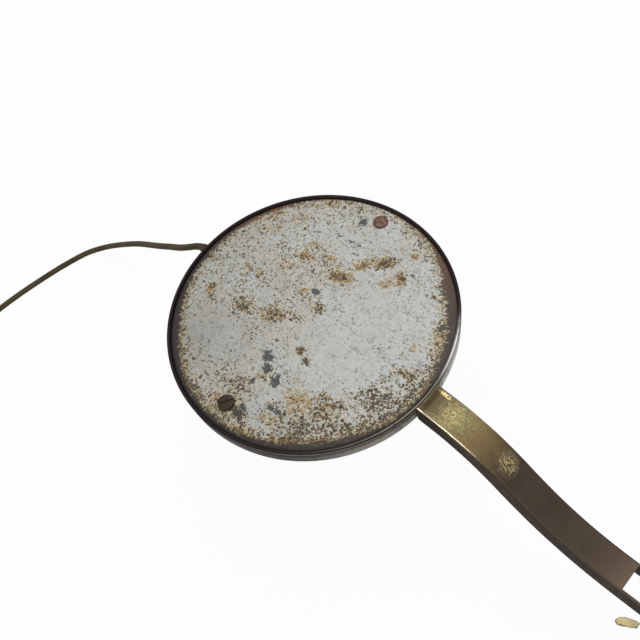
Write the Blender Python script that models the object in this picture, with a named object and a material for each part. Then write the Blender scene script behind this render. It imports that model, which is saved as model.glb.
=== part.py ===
"""Extendable shaving mirror: a lit round head on a channel arm, a telescopic tube and a weighted base.

The arm is folded down flat, with the glass facing the table. Metres, +Z up. The origin is the centre
of the base's underside, and the arm runs along -X to the head.
"""
import bpy
import bmesh
from math import cos, pi, radians, sin
from mathutils import Matrix, Vector

MM = 0.001
GAP = 0.3 * MM                      # between pieces that touch
LARGE, MEDIUM, SMALL, TINY = 40, 28, 14, 10     # sides of round pieces

# Head: a spun brass case with a flat back plate; its front, with the glass, faces down at rest.
HEAD_X = -340 * MM
HEAD_TOP = 98 * MM                  # height of the case's back lip
CASE_R = 80 * MM
CASE_SHEET = 1.2 * MM
WALL_DEPTH = 10 * MM                # straight part of the case's side
NECK_R = 69.8 * MM
FLANGE_R = 60 * MM
FLANGE_Z = -26 * MM                 # underside of the case's inner flange, below the lip
PLATE_R = 78.2 * MM
PLATE_TOP = -2 * MM
PLATE_SHEET = 1.0 * MM
SCREW_A = (69.0 * MM, radians(96.8))    # distance from the centre, direction
SCREW_B = (65.7 * MM, radians(-89.1))
SCREW_SHANK_R = 1.6 * MM
PAN_TOP = -11.6 * MM
MIRROR_R = 50 * MM
GLASS_R = 68 * MM
GLASS_TOP = -27.6 * MM
GLASS_THICK = 3 * MM
BEZEL_R = 71.6 * MM
GLAND_Z = -9 * MM
GLAND_DIRECTION = radians(182.3)
SWITCH_DIRECTION = radians(149)
SWITCH_Z = -8.6 * MM
SWITCH_TRAVEL = 2.5 * MM

# Channel arm from the case's side down to the tilt joint.
ARM_WIDTH = 17 * MM
ARM_DEPTH = 13 * MM
ARM_SHEET = 1.6 * MM
ARM_ROUND = 2.4 * MM
TILT = Vector((-125 * MM, 0, 46.5 * MM))
ARM_ROUTE = [(78, 0), (93, -1.8), (105, -5), (117, -9.6), (129, -16.6), (141, -25.2), (152, -32.2),
             (163, -37.6), (176, -42), (190, -44.4), (203, -45), (214, -45), (224, -45)]

# Telescopic tube, and the fold joint on the base.
INNER_R = 5 * MM
OUTER_R = 7 * MM
TUBE_SHEET = 0.7 * MM
TUBE_MOUTH_X = -92 * MM
FOLD = Vector((48 * MM, 0, 46.5 * MM))
CLAMP_X = -88 * MM

# Base.
BASE_R = 92 * MM
BASE_TOP = 31 * MM
BASE_FLAT_R = 68 * MM
FELT_THICK = 2.2 * MM

# Flat twin flex, from the gland to the coil, points in millimetres.
CORD_R = 1.8 * MM
CORD_ROUTE = [(-428.2, -3.5, 88.9), (-433, -4.8, 87), (-440, -7, 82.8), (-449, -8.8, 76.9),
              (-461.4, -9.8, 68.8), (-475.1, -10.9, 59.4), (-491.3, -11.6, 48.2), (-507.9, -12.6, 36.9),
              (-522.7, -14.5, 26.8), (-537.2, -17.4, 17.2), (-549.6, -21.4, 9.8), (-559.3, -26.8, 4.8),
              (-565.8, -33.2, 2.5), (-570, -41.6, 1.9), (-574.6, -57, 1.9), (-578.5, -74.2, 1.9),
              (-581.8, -91.8, 1.9), (-584, -109.2, 1.9), (-584.5, -124, 1.9), (-584.5, -138.6, 1.9)]
TAIL_ROUTE = [(-586.8, -175, 10.5), (-586.8, -181, 9.6), (-586.8, -188, 8.2), (-586.8, -194, 7.2),
              (-586.8, -198, 6.9)]
COIL_CENTRE = Vector((-614.1 * MM, -155 * MM, 0))
COIL_INNER_R = 18 * MM
COIL_OUTER_R = 32 * MM
COIL_HEIGHT = 12.5 * MM
PLUG = Vector((-586.8 * MM, -198.4 * MM, 6.9 * MM))

COLOURS = {                         # colour, roughness, metallic
    "brass": ((0.42, 0.34, 0.19), 0.42, 1.0),
    "steel": ((0.45, 0.43, 0.40), 0.38, 1.0),
    "paint": ((0.52, 0.51, 0.49), 0.45, 0.0),
    "screw": ((0.21, 0.15, 0.10), 0.50, 0.8),
    "iron": ((0.10, 0.10, 0.10), 0.60, 0.9),
    "glass": ((0.80, 0.85, 0.85), 0.05, 0.0),
    "frosted": ((0.85, 0.86, 0.84), 0.50, 0.0),
    "silvering": ((0.90, 0.90, 0.90), 0.02, 1.0),
    "rubber": ((0.07, 0.06, 0.05), 0.70, 0.0),
    "flex": ((0.11, 0.08, 0.045), 0.65, 0.0),
    "bakelite": ((0.05, 0.03, 0.02), 0.30, 0.0),
    "fibre": ((0.25, 0.12, 0.06), 0.80, 0.0),
    "felt": ((0.05, 0.12, 0.07), 0.95, 0.0),
}


# ---------------------------------------------------------------- helpers

def clear_scene():
    for thing in list(bpy.data.objects):
        bpy.data.objects.remove(thing, do_unlink=True)


def material(name):
    found = bpy.data.materials.get(name)
    if found:
        return found
    colour, roughness, metallic = COLOURS[name]
    made = bpy.data.materials.new(name)
    made.use_nodes = True
    shader = made.node_tree.nodes["Principled BSDF"]
    shader.inputs["Base Color"].default_value = (*colour, 1)
    shader.inputs["Roughness"].default_value = roughness
    shader.inputs["Metallic"].default_value = metallic
    return made


def add(name, bm, look, location=(0, 0, 0), rotation=None):
    """Make an object from a bmesh, smooth-shaded with sharp edges kept."""
    bmesh.ops.recalc_face_normals(bm, faces=bm.faces)
    mesh = bpy.data.meshes.new(name)
    bm.to_mesh(mesh)
    bm.free()
    mesh.shade_smooth()
    mesh.set_sharp_from_angle(angle=radians(35))
    mesh.materials.append(material(look))
    thing = bpy.data.objects.new(name, mesh)
    bpy.context.scene.collection.objects.link(thing)
    thing.matrix_world = Matrix.Translation(location) @ (rotation or Matrix()).to_4x4()
    return thing


def cutter(name, bm, location=(0, 0, 0), rotation=None):
    thing = add(name, bm, "steel", location, rotation)
    thing.hide_render = True
    thing.display_type = "WIRE"
    return thing


def boolean(thing, other, operation="DIFFERENCE"):
    step = thing.modifiers.new(operation.lower(), "BOOLEAN")
    step.operation = operation
    step.solver = "EXACT"
    step.object = other


def lathe(profile, steps=LARGE):
    """Turn a closed outline of (radius, height) points about Z."""
    bm = bmesh.new()
    rings = []
    for radius, height in profile:
        if radius < 1e-7:
            rings.append([bm.verts.new((0, 0, height))])
            continue
        rings.append([bm.verts.new((radius * cos(2 * pi * i / steps), radius * sin(2 * pi * i / steps), height))
                      for i in range(steps)])
    for low, high in zip(rings, rings[1:] + rings[:1]):
        if len(low) == len(high) == 1:
            continue
        for i in range(steps):
            j = (i + 1) % steps
            corners = [low[0]] if len(low) == 1 else [low[i], low[j]]
            corners += [high[0]] if len(high) == 1 else [high[j], high[i]]
            bm.faces.new(corners)
    return bm


def sheet(line, thickness):
    """Closed outline of a bent sheet whose middle follows the line."""
    points = [Vector(p) for p in line]
    left, right = [], []
    for i, point in enumerate(points):
        before = (point - points[i - 1]).normalized() if i else None
        after = (points[i + 1] - point).normalized() if i + 1 < len(points) else None
        along = ((before or after) + (after or before)).normalized()
        side = Vector((-along.y, along.x))
        stretch = 1.0 / max(0.5, side.dot(Vector((-(before or after).y, (before or after).x))))
        left.append(point + side * thickness / 2 * stretch)
        right.append(point - side * thickness / 2 * stretch)
    return [tuple(p) for p in left + right[::-1]]


def rod(radius, length, steps=SMALL, edge=0.0):
    """Solid cylinder from z = 0 to its length, with chamfered ends."""
    return lathe([(0, 0), (radius - edge, 0), (radius, edge), (radius, length - edge),
                  (radius - edge, length), (0, length)] if edge else
                 [(0, 0), (radius, 0), (radius, length), (0, length)], steps)


def ring(inner, outer, low, high, steps=MEDIUM):
    return lathe([(inner, low), (outer, low), (outer, high), (inner, high)], steps)


def block(size, centre=(0, 0, 0), edge=0.0):
    bm = bmesh.new()
    bmesh.ops.create_cube(bm, size=1, matrix=Matrix.Translation(centre) @ Matrix.Diagonal((*size, 1)))
    if edge:
        bmesh.ops.bevel(bm, geom=bm.edges, offset=edge, segments=2, affect="EDGES", profile=0.5)
    return bm


def moved(bm, offset=(0, 0, 0), rotation=None):
    bmesh.ops.transform(bm, verts=bm.verts, matrix=Matrix.Translation(offset) @ (rotation or Matrix()).to_4x4())
    return bm


def smooth_line(points, per_span):
    """Catmull-Rom curve through the points."""
    knots = [Vector(p) for p in points]
    knots = [2 * knots[0] - knots[1]] + knots + [2 * knots[-1] - knots[-2]]
    line = []
    for a, b, c, d in zip(knots, knots[1:], knots[2:], knots[3:]):
        for k in range(per_span):
            t = k / per_span
            line.append(0.5 * (2 * b + (c - a) * t + (2 * a - 5 * b + 4 * c - d) * t * t
                               + (3 * b - a - 3 * c + d) * t ** 3))
    line.append(knots[-2])
    return line


ALONG_Y = Matrix.Rotation(radians(-90), 3, "X")     # a rod's +Z turns to +Y
ALONG_X = Matrix.Rotation(radians(90), 3, "Y")      # a rod's +Z turns to +X


def head_point(radius, direction, z):
    return Vector((HEAD_X + radius * cos(direction), radius * sin(direction), HEAD_TOP + z))


def outward(direction):
    """Turn a piece's +X to point out of the head, at a direction about its axis."""
    return Matrix.Rotation(direction, 3, "Z")


HEAD = Vector((HEAD_X, 0, HEAD_TOP))


# ---------------------------------------------------------------- head

def make_case():
    line = [(CASE_R - CASE_SHEET / 2, 0), (CASE_R - CASE_SHEET / 2, -WALL_DEPTH),
            (79 * MM, -12.2 * MM), (77.2 * MM, -14.4 * MM), (74.2 * MM, -16.8 * MM),
            (71.4 * MM, -18.8 * MM), (69.8 * MM, -20.4 * MM), (NECK_R - CASE_SHEET / 2, -22.4 * MM),
            (NECK_R - CASE_SHEET / 2, FLANGE_Z + CASE_SHEET / 2), (FLANGE_R, FLANGE_Z + CASE_SHEET / 2)]
    case = add("head_case", lathe(sheet(line, CASE_SHEET), LARGE), "brass", HEAD)
    gland = cutter("cut_gland", moved(rod(4 * MM, 14 * MM), (70 * MM, 0, GLAND_Z), ALONG_X), HEAD,
                   outward(GLAND_DIRECTION))
    button = cutter("cut_button", moved(rod(2.9 * MM, 14 * MM), (70 * MM, 0, SWITCH_Z), ALONG_X), HEAD,
                    outward(SWITCH_DIRECTION))
    boolean(case, gland)
    boolean(case, button)
    for side in (-1, 1):
        boolean(case, cutter(f"cut_arm_screw_{side}", rod(1.9 * MM, 14 * MM), head_arm_hole(side), ALONG_X))


def head_arm_hole(side):
    """Where an arm screw's axis starts, inside the case."""
    return HEAD + Vector((70 * MM, side * 3.6 * MM, -8.2 * MM))


def make_back_plate():
    plate = add("back_plate", lathe([(0, PLATE_TOP - PLATE_SHEET), (PLATE_R, PLATE_TOP - PLATE_SHEET),
                                     (PLATE_R, PLATE_TOP - 0.3 * MM), (PLATE_R - 0.4 * MM, PLATE_TOP),
                                     (0, PLATE_TOP)], LARGE), "paint", HEAD)
    for name, (radius, direction) in (("a", SCREW_A), ("b", SCREW_B)):
        hole = cutter(f"cut_plate_{name}", rod(SCREW_SHANK_R + GAP, 6 * MM),
                      head_point(radius, direction, PLATE_TOP - 4 * MM))
        boolean(plate, hole)


def make_plate_screw(name, place, head_height, head_r, slot_turn):
    """Slotted screw: its shank runs down through the plate into a lug."""
    low = 5.6 * MM
    base = GAP
    screw = add(f"plate_screw_{name}",
                lathe([(0, -low), (SCREW_SHANK_R, -low), (SCREW_SHANK_R, base), (head_r, base),
                       (head_r, base + head_height * 0.35), (head_r * 0.86, base + head_height * 0.75),
                       (head_r * 0.5, base + head_height), (0, base + head_height)], SMALL),
                "screw", head_point(*place, PLATE_TOP))
    slot = cutter(f"cut_slot_{name}", block((12 * MM, 1.1 * MM, 1.6 * MM)),
                  head_point(*place, PLATE_TOP + base + head_height - 0.6 * MM + 0.8 * MM),
                  Matrix.Rotation(slot_turn, 3, "Z"))
    boolean(screw, slot)


def make_plate_seat():
    """Brass ring inside the case's lip, with two lugs tapped for the plate's screws."""
    top = PLATE_TOP - PLATE_SHEET - GAP
    seat = add("plate_seat", ring(75 * MM, 78.5 * MM, top - 1.6 * MM, top, LARGE), "brass", HEAD)
    for name, (radius, direction) in (("a", SCREW_A), ("b", SCREW_B)):
        low, high = radius - 5.5 * MM, 77 * MM
        lug = block((high - low, 11 * MM, 4 * MM), ((low + high) / 2, 0, top - 0.2 * MM - 2 * MM), 0.5 * MM)
        boolean(seat, cutter(f"add_lug_{name}", lug, HEAD, outward(direction)), "UNION")
        hole = rod(SCREW_SHANK_R + GAP, 8 * MM)
        boolean(seat, cutter(f"cut_lug_{name}", hole, head_point(radius, direction, -9 * MM)))


def make_reflector():
    line = [(6 * MM, PAN_TOP - 0.4 * MM), (52 * MM, PAN_TOP - 0.4 * MM), (56 * MM, -13 * MM),
            (60.5 * MM, -22 * MM), (61.5 * MM, -24.1 * MM), (66 * MM, -24.1 * MM)]
    add("reflector_pan", lathe(sheet(line, 0.8 * MM), MEDIUM), "paint", HEAD)


def make_mirror():
    back = GLASS_TOP + 1.5 * MM
    add("mirror_back", lathe([(0, back), (MIRROR_R - 1 * MM, back), (MIRROR_R - 1 * MM, back + 1.2 * MM),
                              (0, back + 1.2 * MM)], MEDIUM), "steel", HEAD)
    silver = back - GAP
    add("mirror_silvering", lathe([(0, silver), (MIRROR_R, silver), (MIRROR_R, silver - 0.6 * MM),
                                   (0, silver - 0.6 * MM)], MEDIUM), "silvering", HEAD)
    glass = silver - 0.6 * MM - GAP
    add("mirror_glass", lathe([(0, glass), (MIRROR_R, glass), (MIRROR_R, glass - GLASS_THICK + 0.6 * MM),
                               (MIRROR_R - 1.6 * MM, glass - GLASS_THICK), (0, glass - GLASS_THICK)], MEDIUM),
        "glass", HEAD)
    low = glass - GLASS_THICK - GAP
    add("mirror_rim", lathe([(MIRROR_R + GAP, back + 1 * MM), (MIRROR_R + GAP, low), (MIRROR_R - 1.4 * MM, low),
                             (MIRROR_R - 1 * MM, low - 1 * MM), (MIRROR_R + 1 * MM, low - 1 * MM),
                             (MIRROR_R + 1.5 * MM, low - 0.4 * MM), (MIRROR_R + 1.5 * MM, back + 1 * MM)], MEDIUM),
        "brass", HEAD)
    add("frosted_ring", ring(MIRROR_R + 2 * MM, GLASS_R, GLASS_TOP - GLASS_THICK, GLASS_TOP), "frosted", HEAD)
    add("glass_gasket", ring(62 * MM, GLASS_R, GLASS_TOP + GAP, FLANGE_Z - GAP, MEDIUM), "rubber", HEAD)
    low, high = back + 1.2 * MM + GAP, PAN_TOP - 0.8 * MM - GAP
    bracket = add("mirror_bracket", ring(24 * MM, 32 * MM, high - 1 * MM, high, 40), "steel", HEAD)
    for index in range(3):
        leg = rod(2.6 * MM, high - low - 0.4 * MM, TINY)
        place = head_point(28 * MM, radians(60 + 120 * index), low)
        boolean(bracket, cutter(f"add_leg_{index}", leg, place), "UNION")


def make_bezel():
    inner = NECK_R + GAP
    low = GLASS_TOP - GLASS_THICK - GAP
    add("front_bezel", lathe([(inner, -22.6 * MM), (inner, low), (64.5 * MM, low),
                               (65 * MM, low - 1.2 * MM), (BEZEL_R - 1.4 * MM, low - 1.2 * MM),
                               (BEZEL_R, low + 0.2 * MM), (BEZEL_R, -22.6 * MM)], LARGE), "brass", HEAD)


def make_lamps():
    """Two festoon lamps beside the mirror, each between its holder's two uprights."""
    seat = PAN_TOP - 0.8 * MM - GAP
    middle = 45 * MM
    for name, turn in (("a", outward(radians(90))), ("b", outward(radians(-90)))):
        holder = add(f"lamp_holder_{name}", block((8 * MM, 40 * MM, 1 * MM), (middle, 0, seat - 0.5 * MM)),
                     "steel", HEAD, turn)
        for side in (-1, 1):
            upright = block((7 * MM, 1 * MM, 6.6 * MM), (middle, side * 17.2 * MM, seat - 3.7 * MM))
            boolean(holder, cutter(f"add_upright_{name}_{side}", upright, HEAD, turn), "UNION")
        lamp = lathe([(0, -16.2 * MM), (3 * MM, -16.2 * MM), (3 * MM, -12 * MM), (4 * MM, -9 * MM),
                      (4 * MM, 9 * MM), (3 * MM, 12 * MM), (3 * MM, 16.2 * MM), (0, 16.2 * MM)], TINY)
        add(f"festoon_lamp_{name}", moved(lamp, (middle, 0, seat - 6 * MM), ALONG_Y), "frosted", HEAD, turn)


def make_wiring():
    floor = PAN_TOP + GAP
    terminal = add("terminal_block", block((13 * MM, 20 * MM, 5 * MM), (-40 * MM, 0, floor + 2.5 * MM), 0.6 * MM),
                   "bakelite", HEAD)
    for side in (-1, 1):
        place = HEAD + Vector((-40 * MM, side * 5 * MM, floor + 2.6 * MM))
        boolean(terminal, cutter(f"cut_terminal_{side}", rod(2.3 * MM, 6 * MM, TINY), place))
    grommet = lathe([(2.1 * MM, 73 * MM), (3.4 * MM, 73 * MM), (3.7 * MM, 74 * MM),
                     (3.7 * MM, 80.4 * MM), (4.4 * MM, 80.6 * MM), (4.2 * MM, 82.4 * MM), (3 * MM, 87.6 * MM),
                     (2.1 * MM, 87.9 * MM)], 20)
    add("cord_grommet", moved(grommet, (0, 0, GLAND_Z), ALONG_X), "rubber", HEAD, outward(GLAND_DIRECTION))
    add("cord_inner", moved(rod(1.7 * MM, 24 * MM, TINY), (48.5 * MM, 0, GLAND_Z), ALONG_X), "flex", HEAD,
        outward(GLAND_DIRECTION))
    clamp = add("cord_clamp", block((5 * MM, 15 * MM, 3 * MM), (62 * MM, 0, GLAND_Z + 3.6 * MM), 0.4 * MM),
                "steel", HEAD, outward(GLAND_DIRECTION))
    boolean(clamp, cutter("cut_clamp", moved(rod(2.1 * MM, 10 * MM, TINY), (57 * MM, 0, GLAND_Z + 0.9 * MM), ALONG_X),
                          HEAD, outward(GLAND_DIRECTION)))


def make_switch():
    body = add("switch_body", block((11 * MM, 12 * MM, 6.6 * MM), (71.8 * MM, 0, SWITCH_Z), 0.5 * MM), "bakelite",
               HEAD, outward(SWITCH_DIRECTION))
    boolean(body, cutter("cut_switch", moved(rod(2.9 * MM, 12 * MM, 20), (69 * MM, 0, SWITCH_Z), ALONG_X), HEAD,
                         outward(SWITCH_DIRECTION)))
    origin = head_point(84 * MM, SWITCH_DIRECTION, SWITCH_Z)
    add("switch_button", moved(rod(2.5 * MM, 11.5 * MM, SMALL, 0.5 * MM), (-11.5 * MM, 0, 0), ALONG_X), "bakelite",
        origin, outward(SWITCH_DIRECTION))


# ---------------------------------------------------------------- channel arm

def channel_section():
    """Inverted U, as (across, depth) points."""
    half, inner = ARM_WIDTH / 2, ARM_WIDTH / 2 - ARM_SHEET
    bend = max(ARM_ROUND - ARM_SHEET, 0.6 * MM)
    outer, hollow = [(half, ARM_DEPTH)], [(inner, ARM_DEPTH)]
    for k in range(3):
        turn = radians(45 * k)
        outer.append((half - ARM_ROUND + ARM_ROUND * cos(turn), ARM_ROUND - ARM_ROUND * sin(turn)))
        hollow.append((inner - bend + bend * cos(turn), ARM_SHEET + bend - bend * sin(turn)))
    right = outer
    left = [(-y, d) for y, d in outer[::-1]]
    return right + left + [(-y, d) for y, d in hollow] + hollow[::-1]


def make_arm():
    line = [HEAD + Vector((x * MM, 0, z * MM)) for x, z in ARM_ROUTE]
    path = smooth_line(line, 2)
    bm = bmesh.new()
    section = channel_section()
    rings = []
    for i, point in enumerate(path):
        along = (path[min(i + 1, len(path) - 1)] - path[max(i - 1, 0)]).normalized()
        under = Vector((along.z, 0, -along.x))
        rings.append([bm.verts.new(point + Vector((0, y, 0)) + under * depth) for y, depth in section])
    for low, high in zip(rings, rings[1:]):
        for i in range(len(section)):
            j = (i + 1) % len(section)
            bm.faces.new((low[i], low[j], high[j], high[i]))
    bm.faces.new(rings[0][::-1])
    bm.faces.new(rings[-1])
    arm = add("swan_arm", bm, "brass")
    boolean(arm, cutter("cut_case_side", rod(CASE_R + GAP, 40 * MM, LARGE), HEAD - Vector((0, 0, 34 * MM))))
    web = TILT + Vector((6 * MM, 0, 7 * MM))
    boolean(arm, cutter("cut_web", block((46 * MM, ARM_WIDTH - 2 * ARM_SHEET, 9 * MM), web)))
    boolean(arm, cutter("cut_arm_pivot", rod(2.4 * MM, 40 * MM), TILT - Vector((0, 20 * MM, 0)), ALONG_Y))


def make_arm_root():
    """Brass block brazed inside the channel's end, held by two screws from inside the case."""
    start = CASE_R + 1.2 * MM
    root = add("arm_root_block", block((8 * MM, ARM_WIDTH - 2 * ARM_SHEET - 1.6 * MM, 6.4 * MM),
                                       (start + 4.4 * MM, 0, -8 * MM), 0.3 * MM), "brass", HEAD)
    for name, side in (("a", -1), ("b", 1)):
        axis = head_arm_hole(side)
        hole = rod(1.9 * MM, 10 * MM, TINY)
        boolean(root, cutter(f"cut_root_{name}", hole, axis + Vector((10 * MM, 0, 0)), ALONG_X))
        screw = lathe([(0, 0), (2.4 * MM, 0), (2.8 * MM, 0.6 * MM), (2.8 * MM, 1.8 * MM), (1.6 * MM, 1.8 * MM),
                       (1.6 * MM, 12 * MM), (0, 12 * MM)], TINY)
        add(f"arm_screw_{name}", screw, "screw", axis + Vector((6.2 * MM, 0, 0)), ALONG_X)


# ---------------------------------------------------------------- joints' hardware

def make_eye(name, pivot, radius, half_width, direction, reach, spigot_r, look="brass"):
    """Eye on a pivot, with a neck and a spigot that plugs into a tube."""
    eye = add(name, moved(rod(radius, 2 * half_width, SMALL, 0.4 * MM), (0, -half_width, 0), ALONG_Y), look, pivot)
    clear = 3.4 * MM
    turn = Matrix.Rotation(radians(90 * direction), 3, "Y")
    thin, step = min(spigot_r, half_width) - 0.5 * MM, radius + 1.5 * MM
    neck = moved(lathe([(0, clear), (thin, clear), (thin, step), (spigot_r, step), (spigot_r, reach), (0, reach)],
                       SMALL), rotation=turn)
    boolean(eye, cutter(f"add_{name}", neck, pivot), "UNION")
    boolean(eye, cutter(f"cut_{name}", rod(2.4 * MM, 40 * MM), pivot - Vector((0, 20 * MM, 0)), ALONG_Y))
    return eye


def make_bolt(name, pivot, start, end):
    """Round-headed bolt along Y, its head at the start side."""
    add(name, lathe([(0, 0), (3.4 * MM, 0), (4.6 * MM, 1 * MM), (4.6 * MM, 2.6 * MM), (2.1 * MM, 2.6 * MM),
                     (2.1 * MM, end - start), (0, end - start)], SMALL), "steel",
        pivot + Vector((0, start, 0)), ALONG_Y)


def make_washer(name, pivot, low, high, radius, look="steel"):
    add(name, moved(ring(2.4 * MM, radius, low, high, SMALL), (0, 0, 0), ALONG_Y), look, pivot)


def make_wing_nut(name, pivot, start):
    """Wing nut on a bolt's far end."""
    hub = lathe([(2.4 * MM, 0), (5 * MM, 0), (4 * MM, 7 * MM), (2.4 * MM, 7 * MM)], SMALL)
    nut = add(name, moved(hub, (0, start, 0), ALONG_Y), "brass", pivot)
    for side in (-1, 1):
        wing = block((9 * MM, 6 * MM, 2 * MM), (side * 7.6 * MM, start + 7 * MM, 0), 0.8 * MM)
        boolean(nut, cutter(f"add_{name}_{side}", wing, pivot), "UNION")


def make_tilt_joint():
    cheek = ARM_WIDTH / 2
    inside = cheek - ARM_SHEET
    make_eye("tilt_eye", TILT, 6.5 * MM, 4 * MM, 1, 20 * MM, 3.9 * MM)
    for name, side in (("tilt_washer_left", -1), ("tilt_washer_right", 1)):
        low, high = sorted((side * (4 * MM + GAP), side * (inside - GAP)))
        make_washer(name, TILT, low, high, 5.6 * MM, "fibre")
    make_bolt("tilt_bolt", TILT, -cheek - GAP - 2.6 * MM, 17 * MM)
    make_washer("tilt_nut_washer", TILT, cheek + GAP, cheek + GAP + 1 * MM, 5.4 * MM)
    make_wing_nut("tilt_wing_nut", TILT, cheek + 1 * MM + 2 * GAP)


# ---------------------------------------------------------------- telescopic tube

def make_telescope():
    height = TILT.z
    left = -113 * MM
    inner = ring(INNER_R - TUBE_SHEET, INNER_R, 0, 131 * MM, SMALL)
    add("inner_tube", inner, "steel", (left, 0, height), ALONG_X)
    add("stop_plug", lathe([(0, -9 * MM), (INNER_R - TUBE_SHEET - GAP, -9 * MM), (INNER_R - TUBE_SHEET - GAP, GAP),
                            (6 * MM, GAP), (6 * MM, 3 * MM), (0, 3 * MM)], SMALL), "brass",
        (left + 131 * MM, 0, height), ALONG_X)
    outer = add("outer_tube", ring(OUTER_R - TUBE_SHEET, OUTER_R, 0, 128 * MM, SMALL), "brass",
                (TUBE_MOUTH_X, 0, height), ALONG_X)
    add("guide_bush", ring(INNER_R + GAP, OUTER_R - TUBE_SHEET - GAP, 0, 12 * MM, SMALL), "fibre",
        (TUBE_MOUTH_X + 9 * MM, 0, height), ALONG_X)
    collar = add("clamp_collar", lathe([(INNER_R + GAP, -3.4 * MM), (9 * MM, -3.4 * MM), (10 * MM, -2.4 * MM),
                                        (10 * MM, 10 * MM), (9 * MM, 11 * MM), (OUTER_R + GAP, 11 * MM),
                                        (OUTER_R + GAP, -GAP), (INNER_R + GAP, -GAP)], SMALL), "brass",
                 (TUBE_MOUTH_X, 0, height), ALONG_X)
    hole = cutter("cut_thumb_screw", rod(2.4 * MM, 14 * MM, 20), (CLAMP_X, 0, height), ALONG_Y)
    boolean(collar, hole)
    boolean(outer, hole)
    add("thumb_screw", lathe([(0, INNER_R + GAP), (2.1 * MM, INNER_R + GAP), (2.1 * MM, 13 * MM), (4 * MM, 13 * MM),
                              (4 * MM, 15 * MM), (7 * MM, 15.4 * MM), (7.4 * MM, 16 * MM), (7.4 * MM, 20 * MM),
                              (6.8 * MM, 20.8 * MM), (0, 21.2 * MM)], SMALL), "brass", (CLAMP_X, 0, height), ALONG_Y)


def cheek(radius, drop, low, high):
    """Upright with a round top about the origin, reaching down by the drop, between two Y values."""
    outline = [(radius * cos(radians(18 * k)), radius * sin(radians(18 * k))) for k in range(11)]
    outline += [(-radius, -drop), (radius, -drop)]
    bm = bmesh.new()
    near = [bm.verts.new((x, low, z)) for x, z in outline]
    far = [bm.verts.new((x, high, z)) for x, z in outline]
    for i in range(len(outline)):
        j = (i + 1) % len(outline)
        bm.faces.new((near[i], near[j], far[j], far[i]))
    bm.faces.new(near[::-1])
    bm.faces.new(far)
    return bm


def make_fold_joint():
    make_eye("fold_eye", FOLD, 9 * MM, 5 * MM, -1, 26 * MM, OUTER_R - TUBE_SHEET - GAP)
    inside, outside = 5.4 * MM, 9.4 * MM
    foot_low, foot_high = BASE_TOP + GAP, BASE_TOP + 3.3 * MM
    fork = add("fold_fork", block((30 * MM, 32 * MM, foot_high - foot_low), (0, 0, (foot_low + foot_high) / 2),
                                  0.5 * MM), "brass", (FOLD.x, 0, 0))
    for side in (-1, 1):
        low, high = sorted((side * inside, side * outside))
        post = cheek(9 * MM, FOLD.z - foot_low - 1 * MM, low, high)
        boolean(fork, cutter(f"add_fork_cheek_{side}", post, FOLD), "UNION")
    boolean(fork, cutter("cut_fork", rod(2.4 * MM, 40 * MM), FOLD - Vector((0, 20 * MM, 0)), ALONG_Y))
    seat = foot_high + GAP
    for name, x in (("a", -11.5 * MM), ("b", 11.5 * MM)):
        place = Vector((FOLD.x + x, 0, 0))
        hole = cutter(f"cut_fork_screw_{name}", rod(1.9 * MM, 24 * MM, TINY), place + Vector((0, 0, 18 * MM)),
                      Matrix.Rotation(radians(7), 3, "Z"))
        boolean(fork, hole)
        BASE_HOLES.append(hole)
        add(f"fork_screw_{name}", lathe([(0, 20 * MM), (1.6 * MM, 20 * MM), (1.6 * MM, seat), (2.9 * MM, seat),
                                         (2.4 * MM, seat + 1.3 * MM), (0, seat + 1.7 * MM)], TINY), "screw", place)
    make_bolt("fold_bolt", FOLD, -outside - GAP - 2.6 * MM, 18 * MM)
    make_washer("fold_nut_washer", FOLD, outside + GAP, outside + GAP + 1 * MM, 6 * MM)
    make_wing_nut("fold_wing_nut", FOLD, outside + 1 * MM + 2 * GAP)


# ---------------------------------------------------------------- base

BASE_HOLES = []


def make_base():
    low = FELT_THICK + GAP
    sheet_line = [(BASE_R - 0.8 * MM, low), (BASE_R - 0.8 * MM, 13 * MM), (90.2 * MM, 18 * MM), (87 * MM, 22.6 * MM),
                  (81 * MM, 26.8 * MM), (74 * MM, 29.6 * MM), (BASE_FLAT_R, BASE_TOP - 0.8 * MM),
                  (BASE_FLAT_R - 20 * MM, BASE_TOP - 0.8 * MM)]
    outline = sheet(sheet_line, 1.6 * MM)
    half = len(sheet_line)
    under, upper = outline[half - 1][1], outline[half][1]
    bolt_hole = 3.3 * MM
    case = add("base_shell", lathe([(bolt_hole, under)] + outline[half - 1::-1] + outline[:half - 1:-1]
                                   + [(bolt_hole, upper)], LARGE), "brass")
    top = BASE_TOP - 1.6 * MM - GAP
    plate = low + 1.5 * MM
    weight = add("base_weight", lathe([(bolt_hole, plate + GAP), (89.6 * MM, plate + GAP), (89.6 * MM, 12 * MM),
                                       (87.4 * MM, 18 * MM), (84 * MM, 21.6 * MM), (78 * MM, 25 * MM),
                                       (70 * MM, 27.6 * MM), (64 * MM, top), (bolt_hole, top)], MEDIUM), "iron")
    add("bottom_plate", lathe([(0, low), (89.6 * MM, low), (89.6 * MM, plate), (0, plate)], MEDIUM), "steel")
    add("base_felt", lathe([(0, 0), (BASE_R - 1.5 * MM, 0), (BASE_R - 0.5 * MM, FELT_THICK), (0, FELT_THICK)], MEDIUM),
        "felt")
    for piece in (case, weight):
        for hole in BASE_HOLES:
            boolean(piece, hole)
    head = BASE_TOP + GAP
    add("tie_bolt", lathe([(0, 10 * MM), (3 * MM, 10 * MM), (3 * MM, head), (8 * MM, head), (7.4 * MM, head + 1.6 * MM),
                           (4 * MM, head + 2.6 * MM), (0, head + 2.9 * MM)], SMALL), "steel")


# ---------------------------------------------------------------- cord

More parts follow.
